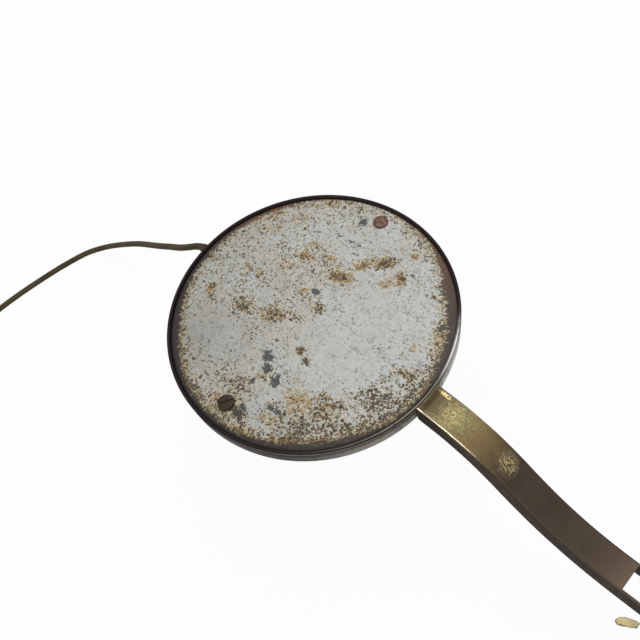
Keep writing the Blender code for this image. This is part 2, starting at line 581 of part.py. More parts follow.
def make_tube(name, route):
    curve = bpy.data.curves.new(name, "CURVE")
    curve.dimensions = "3D"
    curve.bevel_depth = CORD_R
    curve.bevel_resolution = 2
    curve.use_fill_caps = True
    points = smooth_line([Vector(p) * MM for p in route], 2)
    spline = curve.splines.new("POLY")
    spline.points.add(len(points) - 1)
    for knot, point in zip(spline.points, points):
        knot.co = (*point, 1)
    curve.materials.append(material("flex"))
    thing = bpy.data.objects.new(name, curve)
    bpy.context.scene.collection.objects.link(thing)


def make_cord():
    make_tube("cord", CORD_ROUTE)
    make_tube("cord_tail", TAIL_ROUTE)
    add("cord_coil", ring(COIL_INNER_R, COIL_OUTER_R, 0.1 * MM, COIL_HEIGHT, MEDIUM), "flex", COIL_CENTRE)
    tie_x = -(COIL_INNER_R + COIL_OUTER_R) / 2
    width = COIL_OUTER_R - COIL_INNER_R
    tie = add("cord_tie", block((width + 2.8 * MM, 7 * MM, 1.2 * MM), (tie_x, 0, COIL_HEIGHT + 0.9 * MM), 0.3 * MM),
              "fibre", COIL_CENTRE)
    for side in (-1, 1):
        leg = block((1 * MM, 7 * MM, COIL_HEIGHT + 1 * MM), (tie_x + side * (width / 2 + 0.9 * MM), 0,
                                                             COIL_HEIGHT / 2 + 0.6 * MM))
        boolean(tie, cutter(f"add_tie_{side}", leg, COIL_CENTRE), "UNION")


def make_plug():
    bm = bmesh.new()
    stations = ((0, 5, 4), (4, 6.5, 4.6), (14, 9, 5.6), (24, 16, 6.7), (36, 17, 6.7))
    rings = []
    for back, half_width, half_height in stations:
        corner = min(half_width, half_height) * 0.55
        outline = []
        for sx, sz in ((1, 1), (-1, 1), (-1, -1), (1, -1)):
            for k in range(4):
                turn = radians(30 * k) if sx * sz > 0 else radians(90 - 30 * k)
                outline.append((sx * (half_width - corner + corner * cos(turn)),
                                sz * (half_height - corner + corner * sin(turn))))
        rings.append([bm.verts.new((u * MM, -back * MM, v * MM)) for u, v in outline])
    for low, high in zip(rings, rings[1:]):
        for i in range(16):
            j = (i + 1) % 16
            bm.faces.new((low[i], low[j], high[j], high[i]))
    bm.faces.new(rings[0])
    bm.faces.new(rings[-1])
    add("plug_body", bm, "bakelite", PLUG)
    for name, side in (("a", -1), ("b", 1)):
        pin = moved(rod(2 * MM, 19 * MM, TINY, 0.5 * MM), (side * 9.3 * MM, -55.3 * MM, 0), ALONG_Y)
        add(f"plug_pin_{name}", pin, "steel", PLUG)


def main():
    clear_scene()
    make_case()
    make_back_plate()
    make_plate_screw("a", SCREW_A, 1.0 * MM, 4.3 * MM, radians(-20))
    make_plate_screw("b", SCREW_B, 1.7 * MM, 4.5 * MM, radians(60))
    make_plate_seat()
    make_reflector()
    make_mirror()
    make_bezel()
    make_lamps()
    make_wiring()
    make_switch()
    make_arm()
    make_arm_root()
    make_tilt_joint()
    make_telescope()
    make_fold_joint()
    make_base()
    make_cord()
    make_plug()


main()
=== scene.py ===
"""Looks for the extendable shaving mirror: the painted back plate and brass case of its lit head, the
channel arm, telescopic tube, weighted base and flat flex. Metres, +Z up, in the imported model's frame.
"""

from math import cos, pi, radians, sin

import bmesh
import bpy
import numpy as np
from mathutils import Matrix, Vector


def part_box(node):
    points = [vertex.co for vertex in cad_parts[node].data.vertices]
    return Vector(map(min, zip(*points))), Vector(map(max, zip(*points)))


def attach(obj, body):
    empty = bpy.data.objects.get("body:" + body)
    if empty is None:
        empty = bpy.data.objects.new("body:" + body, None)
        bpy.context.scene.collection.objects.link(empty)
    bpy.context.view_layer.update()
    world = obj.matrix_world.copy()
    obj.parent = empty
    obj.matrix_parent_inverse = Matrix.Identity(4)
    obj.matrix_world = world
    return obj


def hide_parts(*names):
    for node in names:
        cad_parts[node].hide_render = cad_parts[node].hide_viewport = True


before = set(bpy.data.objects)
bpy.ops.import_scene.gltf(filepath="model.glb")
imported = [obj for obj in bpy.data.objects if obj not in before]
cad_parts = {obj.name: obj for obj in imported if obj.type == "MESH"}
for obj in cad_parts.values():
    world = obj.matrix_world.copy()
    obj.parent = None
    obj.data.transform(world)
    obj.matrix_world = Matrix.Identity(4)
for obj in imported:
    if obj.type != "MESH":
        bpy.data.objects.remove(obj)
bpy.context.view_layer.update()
MM = 0.001


def centre(node):
    low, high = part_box(node)
    return (low + high) / 2


HEAD = Vector((centre("head_case").x, 0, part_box("head_case")[1].z))     # middle of the back lip
TILT = Vector((centre("tilt_bolt").x, 0, centre("tilt_bolt").z))
FOLD = Vector((centre("fold_bolt").x, 0, centre("fold_bolt").z))
GLAND = radians(182.3)              # directions about the head's axis
SWITCH = radians(149)
ARM_WIDTH, ARM_DEPTH, ARM_SHEET = 17 * MM, 13 * MM, 1.6 * MM
ALONG_X = Matrix.Rotation(radians(90), 3, "Y")      # a lathe's +Z turns to +X
ALONG_Y = Matrix.Rotation(radians(-90), 3, "X")     # or to +Y


# ---------------------------------------------------------------- camera, floor and light

WORLD_LIGHT = 0.42
SOFTBOX_LIGHT = 3.4
STRIP_LIGHT = 4.5
CARD_LIGHT = 1.0


def make_camera():
    """Above and to the arm's side of the head, rolled so that the arm runs down to the right."""
    data = bpy.data.cameras.new("camera")
    data.lens, data.sensor_width, data.clip_start = 42, 36, 0.01
    camera = bpy.data.objects.new("camera", data)
    bpy.context.scene.collection.objects.link(camera)
    place = HEAD + Vector((0.18375, -0.10913, 0.33885))
    aim = HEAD + Vector((0.0080, -0.0005, 0))
    turn = (aim - place).to_track_quat("-Z", "Y").to_matrix() @ Matrix.Rotation(radians(-18.43), 3, "Z")
    camera.matrix_world = Matrix.Translation(place) @ turn.to_4x4()
    bpy.context.scene.camera = camera


def area_light(name, place, aim, size, radiance, stretch=1.0):
    data = bpy.data.lights.new(name, "AREA")
    data.shape, data.size, data.size_y = "RECTANGLE", size, size * stretch
    data.energy = radiance * pi * size * size * stretch
    light = bpy.data.objects.new(name, data)
    bpy.context.scene.collection.objects.link(light)
    place, aim = Vector(place), Vector(aim)
    light.matrix_world = (Matrix.Translation(place)
                          @ (aim - place).to_track_quat("-Z", "Y").to_matrix().to_4x4())
    return light


def make_stage():
    """Pale floor and soft light. The camera sees the floor lit evenly; the object sees a plain matt one."""
    scene = bpy.context.scene
    scene.view_settings.view_transform = "Standard"
    world = bpy.data.worlds.new("studio")
    scene.world = world
    world.use_nodes = True
    nodes, links = world.node_tree.nodes, world.node_tree.links
    soft = nodes["Background"]
    seen = nodes.new("ShaderNodeBackground")
    mixed = nodes.new("ShaderNodeMixShader")
    soft.inputs["Color"].default_value = (0.96, 0.98, 1, 1)
    soft.inputs["Strength"].default_value = WORLD_LIGHT
    seen.inputs["Color"].default_value = (1, 1, 1, 1)
    seen.inputs["Strength"].default_value = 1.0
    links.new(nodes.new("ShaderNodeLightPath").outputs["Is Camera Ray"], mixed.inputs[0])
    links.new(soft.outputs[0], mixed.inputs[1])
    links.new(seen.outputs[0], mixed.inputs[2])
    links.new(mixed.outputs[0], nodes["World Output"].inputs["Surface"])

    bm = bmesh.new()
    bmesh.ops.create_grid(bm, x_segments=1, y_segments=1, size=15)
    floor = raw_object("floor", bm)
    floor.location.z = -0.0004
    paper = bpy.data.materials.new("floor_paper")
    paper.use_nodes = True
    nodes, links = paper.node_tree.nodes, paper.node_tree.links
    matt = nodes["Principled BSDF"]
    glow = nodes.new("ShaderNodeEmission")
    mixed = nodes.new("ShaderNodeMixShader")
    matt.inputs["Base Color"].default_value = (0.55, 0.55, 0.54, 1)
    matt.inputs["Roughness"].default_value = 0.9
    glow.inputs["Strength"].default_value = 1.02
    share = nodes.new("ShaderNodeMath")
    share.operation, share.inputs[1].default_value = "MULTIPLY", 0.93
    links.new(nodes.new("ShaderNodeLightPath").outputs["Is Camera Ray"], share.inputs[0])
    links.new(share.outputs[0], mixed.inputs[0])
    links.new(matt.outputs[0], mixed.inputs[1])
    links.new(glow.outputs[0], mixed.inputs[2])
    links.new(mixed.outputs[0], nodes["Material Output"].inputs["Surface"])
    floor.data.materials.append(paper)

    head = tuple(HEAD)
    area_light("softbox", HEAD + Vector((-0.25, 0.45, 1.20)), head, 0.9, SOFTBOX_LIGHT)
    area_light("edge_strip", HEAD + Vector((0.12, -1.05, 0.60)), head, 0.9, STRIP_LIGHT, 0.28)
    area_light("side_card", HEAD + Vector((1.0, -0.55, 0.35)), head, 0.6, CARD_LIGHT)


# ---------------------------------------------------------------- shapes

def raw_object(name, bm):
    bmesh.ops.recalc_face_normals(bm, faces=bm.faces)
    mesh = bpy.data.meshes.new(name)
    bm.to_mesh(mesh)
    bm.free()
    thing = bpy.data.objects.new(name, mesh)
    bpy.context.scene.collection.objects.link(thing)
    return thing


def moved(bm, place=(0, 0, 0), turn=None):
    bmesh.ops.transform(bm, verts=bm.verts, matrix=Matrix.Translation(place) @ (turn or Matrix()).to_4x4())
    return bm


def piece(name, bm, look, body, replaces=(), sharp=38):
    """A visible piece: shaded smooth with weighted normals, riding on a body and standing for CAD nodes."""
    thing = raw_object(name, bm)
    return dress(thing, look, body, replaces, sharp)


def dress(thing, look, body, replaces=(), sharp=38):
    thing.data.materials.clear()
    thing.data.materials.append(look)
    thing.data.shade_smooth()
    thing.data.set_sharp_from_angle(angle=radians(sharp))
    step = thing.modifiers.new("normals", "WEIGHTED_NORMAL")
    step.keep_sharp = True
    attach(thing, body)
    if replaces:
        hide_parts(*replaces)
    return thing


def carve(thing, bm, operation="DIFFERENCE"):
    """Cut a shape from a mesh, or join it on, at once."""
    other = raw_object("cutter", bm)
    step = thing.modifiers.new("carve", "BOOLEAN")
    step.operation, step.solver, step.object = operation, "EXACT", other
    bpy.context.view_layer.update()
    made = bpy.data.meshes.new_from_object(thing.evaluated_get(bpy.context.evaluated_depsgraph_get()))
    thing.modifiers.clear()
    thing.data = made
    bpy.data.objects.remove(other)


def rounded(outline, radius, steps=3):
    """Closed outline with its corners rounded; points on the axis stay."""
    points = [Vector(p) for p in outline]
    made = []
    for i, corner in enumerate(points):
        before, after = points[i - 1] - corner, points[(i + 1) % len(points)] - corner
        if corner.x < 1e-7 or before.length < 1e-9 or after.length < 1e-9:
            made.append(corner)
            continue
        bend = before.normalized().dot(after.normalized())
        if bend < -0.985:
            made.append(corner)
            continue
        cut = min(radius, 0.42 * before.length, 0.42 * after.length)
        start, end = corner + before.normalized() * cut, corner + after.normalized() * cut
        for k in range(steps + 1):
            t = k / steps
            made.append(start * (1 - t) ** 2 + corner * 2 * t * (1 - t) + end * t * t)
    return made


def faces_between(bm, rings):
    """Faces from each ring of points to the next. A ring may be a single point, on the axis."""
    for low, high in zip(rings, rings[1:]):
        steps = max(len(low), len(high))
        for i in range(steps if steps > 1 else 0):
            j = (i + 1) % steps
            corners = [low[0]] if len(low) == 1 else [low[i], low[j]]
            corners += [high[0]] if len(high) == 1 else [high[j], high[i]]
            bm.faces.new(corners)


def store(thing, name, values):
    """Keep one number for each point of a mesh, for its material to read."""
    stored = thing.data.attributes.new(name, "FLOAT", "POINT")
    stored.data.foreach_set("value", values.astype(np.float32))


def lathe(profile, steps=128, soft=0.3, knurl=None):
    """Turn a closed outline of (radius, height) in millimetres about Z. knurl is (low, high, depth), in
    millimetres: between those heights every other point of the outermost surface is pulled in."""
    bm = bmesh.new()
    outline = rounded(profile, soft) if soft else [Vector(p) for p in profile]
    widest = max(p.x for p in outline)
    rings = []
    for radius, height in outline:
        if radius < 1e-7:
            rings.append([bm.verts.new((0, 0, height * MM))])
            continue
        ridged = knurl and knurl[0] <= height <= knurl[1] and radius > widest - 1.2
        rings.append([])
        for i in range(steps):
            reach = radius - knurl[2] * (i % 2) if ridged else radius
            angle = 2 * pi * i / steps
            rings[-1].append(bm.verts.new((reach * cos(angle) * MM, reach * sin(angle) * MM, height * MM)))
    faces_between(bm, rings + rings[:1])
    return bm


def rod(radius, length, steps=48, soft=0.3):
    return lathe([(0, 0), (radius, 0), (radius, length), (0, length)], steps, soft)


def ring(inner, outer, low, high, steps=96, soft=0.2):
    return lathe([(inner, low), (outer, low), (outer, high), (inner, high)], steps, soft)


def block(size, middle=(0, 0, 0), edge=0.4, segments=3):
    """Box with rounded edges, sizes in millimetres."""
    bm = bmesh.new()
    bmesh.ops.create_cube(bm, size=1, matrix=Matrix.Translation(Vector(middle) * MM)
                          @ Matrix.Diagonal((*(s * MM for s in size), 1)))
    if edge:
        bmesh.ops.bevel(bm, geom=bm.edges, offset=edge * MM, segments=segments, affect="EDGES", profile=0.5)
    return bm


def prism(outline, low, high, soft=0.0):
    """Extrude a closed (x, z) outline in millimetres along Y, with rounded long edges."""
    bm = bmesh.new()
    near = [bm.verts.new((x * MM, low * MM, z * MM)) for x, z in outline]
    far = [bm.verts.new((x * MM, high * MM, z * MM)) for x, z in outline]
    for i in range(len(outline)):
        j = (i + 1) % len(outline)
        bm.faces.new((near[i], near[j], far[j], far[i]))
    caps = [bm.faces.new(near[::-1]), bm.faces.new(far)]
    if soft:
        bmesh.ops.bevel(bm, geom=[e for f in caps for e in f.edges], offset=soft * MM, segments=3,
                        affect="EDGES", profile=0.5)
    return bm


def joined(*parts):
    """Several closed shapes in one mesh, where they only touch or sink into each other."""
    whole = bmesh.new()
    for part in parts:
        mesh = bpy.data.meshes.new("part")
        part.to_mesh(mesh)
        part.free()
        whole.from_mesh(mesh)
        bpy.data.meshes.remove(mesh)
    return whole


def smooth_line(points, per_span):
    """Catmull-Rom curve through the points."""
    knots = [Vector(p) for p in points]
    knots = [2 * knots[0] - knots[1]] + knots + [2 * knots[-1] - knots[-2]]
    line = []
    for a, b, c, d in zip(knots, knots[1:], knots[2:], knots[3:]):
        for k in range(per_span):
            t = k / per_span
            line.append(0.5 * (2 * b + (c - a) * t + (2 * a - 5 * b + 4 * c - d) * t * t
                               + (3 * b - a - 3 * c + d) * t ** 3))
    line.append(knots[-2])
    return line


def step_up(value, low, high):
    t = np.clip((value - low) / (high - low), 0, 1)
    return t * t * (3 - 2 * t)


def outward(direction):
    return Matrix.Rotation(direction, 3, "Z")


def at_head(bm, direction=0.0, place=(0, 0, 0), turn=None):
    """Place a shape, made about the head's axis in millimetres below the lip, on the head."""
    moved(bm, Vector(place) * MM, turn)
    return moved(bm, HEAD, outward(direction))


# ---------------------------------------------------------------- materials

class Look:
    """A procedural material, built up from noises, masks and colours in the object's own coordinates."""

    def __init__(self, name, **inputs):
        self.material = bpy.data.materials.new(name)
        self.material.use_nodes = True
        self.nodes, self.links = self.material.node_tree.nodes, self.material.node_tree.links
        self.shader = self.nodes["Principled BSDF"]
        for socket, value in inputs.items():
            self.set(socket.replace("_", " ").title().replace("Ior", "IOR"), value)
        self.place = self.nodes.new("ShaderNodeTexCoord").outputs["Object"]

    def put(self, socket, value):
        if isinstance(value, bpy.types.NodeSocket):
            self.links.new(value, socket)
        elif socket.type == "RGBA":
            socket.default_value = (*value[:3], 1)
        else:
            socket.default_value = value

    def set(self, socket, value):
        self.put(self.shader.inputs[socket], value)

    def make(self, kind, inputs, output=0, **settings):
        node = self.nodes.new(kind)
        for key, value in settings.items():
            setattr(node, key, value)
        for key, value in inputs.items():
            self.put(node.inputs[key], value)
        return node.outputs[output]

    def stretch(self, scale, turn=(0, 0, 0)):
        return self.make("ShaderNodeMapping", {"Vector": self.place, "Scale": scale,
                                               "Rotation": tuple(radians(t) for t in turn)})

    def noise(self, size, detail=3.0, roughness=0.55, vector=None, warp=0.0, shift=None):
        """Noise whose features are about size millimetres across, from 0 to 1."""
        vector = vector or self.place
        if shift:
            vector = self.make("ShaderNodeVectorMath", {0: vector, 1: shift}, operation="ADD")
        return self.make("ShaderNodeTexNoise", {"Vector": vector, "Scale": 1 / (size * MM), "Detail": detail,
                                                "Roughness": roughness, "Distortion": warp}, "Fac")

    def cells(self, size, feature="F1", vector=None, random=1.0):
        return self.make("ShaderNodeTexVoronoi", {"Vector": vector or self.place, "Scale": 1 / (size * MM),
                                                  "Randomness": random}, "Distance", feature=feature)

    def sum(self, *values):
        total = values[0]
        for value in values[1:]:
            total = self.make("ShaderNodeMath", {0: total, 1: value}, operation="ADD")
        return total

    def times(self, a, b):
        return self.make("ShaderNodeMath", {0: a, 1: b}, operation="MULTIPLY")

    def most(self, a, b):
        return self.make("ShaderNodeMath", {0: a, 1: b}, operation="MAXIMUM")

    def mask(self, value, low, high, start=0.0, end=1.0):
        return self.make("ShaderNodeMapRange", {"Value": value, "From Min": low, "From Max": high,
                                                "To Min": start, "To Max": end},
                         interpolation_type="SMOOTHSTEP")

    def mix(self, factor, a, b):
        node = self.nodes.new("ShaderNodeMix")
        node.data_type = "RGBA"
        self.put(node.inputs[0], factor)
        self.put(node.inputs[6], a)
        self.put(node.inputs[7], b)
        return node.outputs[2]

    def blend(self, factor, a, b):
        node = self.nodes.new("ShaderNodeMix")
        self.put(node.inputs[0], factor)
        self.put(node.inputs[2], a)
        self.put(node.inputs[3], b)
        return node.outputs[0]

    def field(self, name):
        return self.make("ShaderNodeAttribute", {}, "Fac", attribute_name=name)

    def wobbled(self, size, reach):
        """The place, moved about by up to half of reach millimetres, which makes ragged edges."""
        swirl = self.make("ShaderNodeTexNoise", {"Vector": self.place, "Scale": 1 / (size * MM),
                                                 "Detail": 2}, "Color")
        swirl = self.make("ShaderNodeVectorMath", {0: swirl, 1: (0.5, 0.5, 0.5)}, operation="SUBTRACT")
        swirl = self.make("ShaderNodeVectorMath", {0: swirl, 1: (reach * MM,) * 3}, operation="MULTIPLY")
        return self.make("ShaderNodeVectorMath", {0: self.place, 1: swirl}, operation="ADD")

    def dots(self, size, amount, radius, vector, shift=(0, 0, 0)):
        """Round dots and their halos over X and Y. Amount is the share of the cells that hold one."""
        vector = self.make("ShaderNodeVectorMath", {0: vector, 1: shift}, operation="ADD")
        node = self.nodes.new("ShaderNodeTexVoronoi")
        node.voronoi_dimensions = "2D"
        self.put(node.inputs["Vector"], vector)
        self.put(node.inputs["Scale"], 1 / (size * MM))
        split = self.nodes.new("ShaderNodeSeparateColor")
        self.links.new(node.outputs["Color"], split.inputs[0])
        chosen = self.mask(self.sum(amount, self.times(split.outputs[0], -1.0)), 0, 0.06)
        far = self.sum(node.outputs["Distance"], self.times(split.outputs[1], 0.5 * radius), -0.25 * radius)
        core, halo = self.mask(far, radius * 1.25, radius * 0.75), self.mask(far, radius * 2.7, radius)
        return self.times(chosen, core), self.times(chosen, halo)

    def spot(self, middle, size, turn=0, soft=0.3, ragged=0.0):
        """1 inside an ellipsoid with half sizes in millimetres, fading to 0 at its edge."""
        local = self.make("ShaderNodeMapping", {"Vector": self.place, "Location": middle,
                                                "Rotation": (0, 0, radians(turn)),
                                                "Scale": tuple(s * MM for s in size)}, vector_type="TEXTURE")
        away = self.make("ShaderNodeVectorMath", {0: local}, "Value", operation="LENGTH")
        if ragged:
            away = self.sum(away, self.times(self.sum(self.noise(2.4, 4, 0.65), -0.5), ragged))
        return self.mask(away, 1.0, soft)

    def bump(self, height, depth, strength=1.0, normal=None):
        """Relief of about depth millimetres."""
        inputs = {"Height": height, "Distance": depth * MM, "Strength": strength}
        if normal:
            inputs["Normal"] = normal
        return self.make("ShaderNodeBump", inputs, "Normal")


def brass_look(name, bright, dull, dark, tarnish=0.5, gloss=(0.26, 0.46), metal=0.9):
    """Old brass: bright metal under a dull brown skin, with pits, rubbed lines and dark stains."""
    look = Look(name)
    cloud = look.noise(26, 4, 0.6, warp=0.6)
    patch = look.noise(7, 5, 0.6)
    grain = look.noise(0.8, 3, 0.6)
    pits = look.mask(look.cells(1.7), 0.16, 0.07)
    pits = look.times(pits, look.mask(look.noise(5, 2), 0.5, 0.62))
    rub = look.noise(1.1, 3, 0.6, look.stretch((0.05, 1, 1)))
    skin = look.mask(look.sum(look.times(cloud, 0.75), look.times(patch, 0.35)), 0.78 - tarnish * 0.5,
                     0.98 - tarnish * 0.5)
    colour = look.mix(skin, bright, dull)
    colour = look.mix(look.mask(look.sum(patch, look.times(rub, 0.3)), 0.72, 0.86), colour, dark)
    colour = look.mix(look.times(pits, 0.8), colour, tuple(c * 0.3 for c in dark))
    look.set("Base Color", colour)
    look.set("Metallic", metal)
    look.set("Roughness", look.sum(look.mask(skin, 0, 1, *gloss), look.times(grain, 0.10)))
    low = look.bump(look.sum(look.times(patch, 0.5), look.times(grain, 0.25), look.times(rub, 0.12)),
                    0.05, 0.6)
    look.set("Normal", look.bump(pits, -0.08, 0.8, low))
    return look.material


def steel_look(name, colour, rust, amount=0.35, roughness=0.36):
    look = Look(name)
    cloud, grain = look.noise(11, 5, 0.62), look.noise(0.6, 3, 0.6)
    spots = look.mask(look.sum(cloud, look.times(grain, 0.25)), 0.86 - amount * 0.6, 0.98 - amount * 0.6)
    look.set("Base Color", look.mix(spots, colour, look.mix(grain, rust, tuple(c * 0.35 for c in rust))))
    look.set("Metallic", look.mask(spots, 0, 1, 0.95, 0.15))
    look.set("Roughness", look.sum(look.mask(spots, 0, 1, roughness, 0.75), look.times(grain, 0.08)))
    look.set("Normal", look.bump(look.sum(look.times(cloud, 0.4), look.times(grain, 0.3), spots), 0.05, 0.5))
    return look.material


def screw_look(name, metal, crust, amount):
    """Rusted screw head, with a crust in its hollows."""
    look = Look(name)
    cloud, grain, fine = look.noise(3.0, 4, 0.6), look.noise(0.7, 3, 0.6), look.noise(1.5, 4, 0.65, warp=0.5)
    crusty = look.mask(look.sum(look.times(cloud, 0.7), look.times(fine, 0.5)), 0.86 - amount * 0.5,
                       1.02 - amount * 0.5)
    look.set("Base Color", look.mix(look.times(look.mask(grain, 0.42, 0.7), 0.5),
                                    look.mix(crusty, metal, crust), tuple(c * 0.3 for c in crust)))
    look.set("Metallic", look.mask(crusty, 0, 1, 0.55, 0.1))
    look.set("Roughness", look.sum(0.38, look.times(crusty, 0.3), look.times(grain, 0.08)))
    look.set("Normal", look.bump(look.sum(fine, look.times(grain, 0.5)), 0.14, 0.7))
    return look.material


def moulded_look(name, colour, roughness=0.45, mottle=0.3, relief=0.02, dust=None, **inputs):
    """Moulded or coated stuff: bakelite, rubber, plain paint."""
    look = Look(name, **inputs)
    cloud, fine = look.noise(9, 4, 0.6), look.noise(0.5, 2, 0.6)
    shade = look.mix(look.mask(cloud, 0.35, 0.65), tuple(c * (1 - mottle) for c in colour), colour)
    if dust:
        shade = look.mix(look.times(look.mask(look.noise(2.2, 5, 0.65), 0.52, 0.72), 0.45), shade, dust)
    look.set("Base Color", shade)
    look.set("Roughness", look.sum(roughness, look.times(cloud, 0.16), -0.06))
    look.set("Normal", look.bump(look.sum(fine, cloud), relief, 0.6))
    return look.material


def felt_look(name, colour):
    look = Look(name, sheen_weight=0.4, sheen_roughness=0.5)
    fibre, cloud = look.noise(0.5, 4, 0.75, warp=1.5), look.noise(12, 3)
    look.set("Base Color", look.mix(look.mask(fibre, 0.3, 0.7), tuple(c * 0.5 for c in colour),
                                    look.mix(cloud, colour, tuple(c * 1.5 for c in colour))))
    look.set("Roughness", look.sum(0.88, look.times(fibre, 0.1)))
    look.set("Normal", look.bump(fibre, 0.3, 0.9))
    return look.material


def flex_look(name):
    """Flat twin flex: olive brown, a little greasy, with drawn lines along it and dust on it."""
    look = Look(name, specular_ior_level=0.15)
    lines = look.noise(0.9, 2, 0.5, look.stretch((0.12, 0.12, 1)))
    cloud, fine = look.noise(14, 4, 0.6), look.noise(0.6, 3, 0.6)
    shade = look.mix(look.mask(cloud, 0.35, 0.65), (0.050, 0.035, 0.013), (0.080, 0.059, 0.026))
    shade = look.mix(look.times(look.mask(look.noise(3, 4, 0.65), 0.5, 0.75), 0.3), shade,
                     (0.105, 0.083, 0.046))
    look.set("Base Color", look.mix(look.times(look.mask(fine, 0.5, 0.8), 0.4), shade, (0.02, 0.016, 0.011)))
    look.set("Roughness", look.sum(0.42, look.times(cloud, 0.18)))
    look.set("Normal", look.bump(look.sum(lines, look.times(fine, 0.4)), 0.05, 0.6))
    return look.material


def glass_look(name, colour, roughness=0.03, relief=0.004, clear=1.0):
    look = Look(name, roughness=roughness, ior=1.5, transmission_weight=clear)
    smear = look.noise(22, 4, 0.6, warp=0.5)
    look.set("Base Color", look.mix(look.mask(smear, 0.4, 0.7), colour, tuple(c * 0.95 for c in colour)))
    look.set("Roughness", look.mask(smear, 0.35, 0.8, roughness, roughness + 0.05))
    look.set("Normal", look.bump(look.noise(1.4, 3), relief, 0.4))
    return look.material


def silver_look(name):
    """Silvering with black spots of decay towards its edge."""
    look = Look(name, metallic=1.0)
    edge = look.field("edge")
    decay = look.mask(look.sum(look.noise(3.2, 5, 0.65), look.times(edge, 0.24)), 0.74, 0.8)
    look.set("Base Color", look.mix(decay, (0.88, 0.89, 0.88), (0.06, 0.05, 0.04)))
    look.set("Roughness", look.mask(decay, 0, 1, 0.015, 0.5))
    return look.material


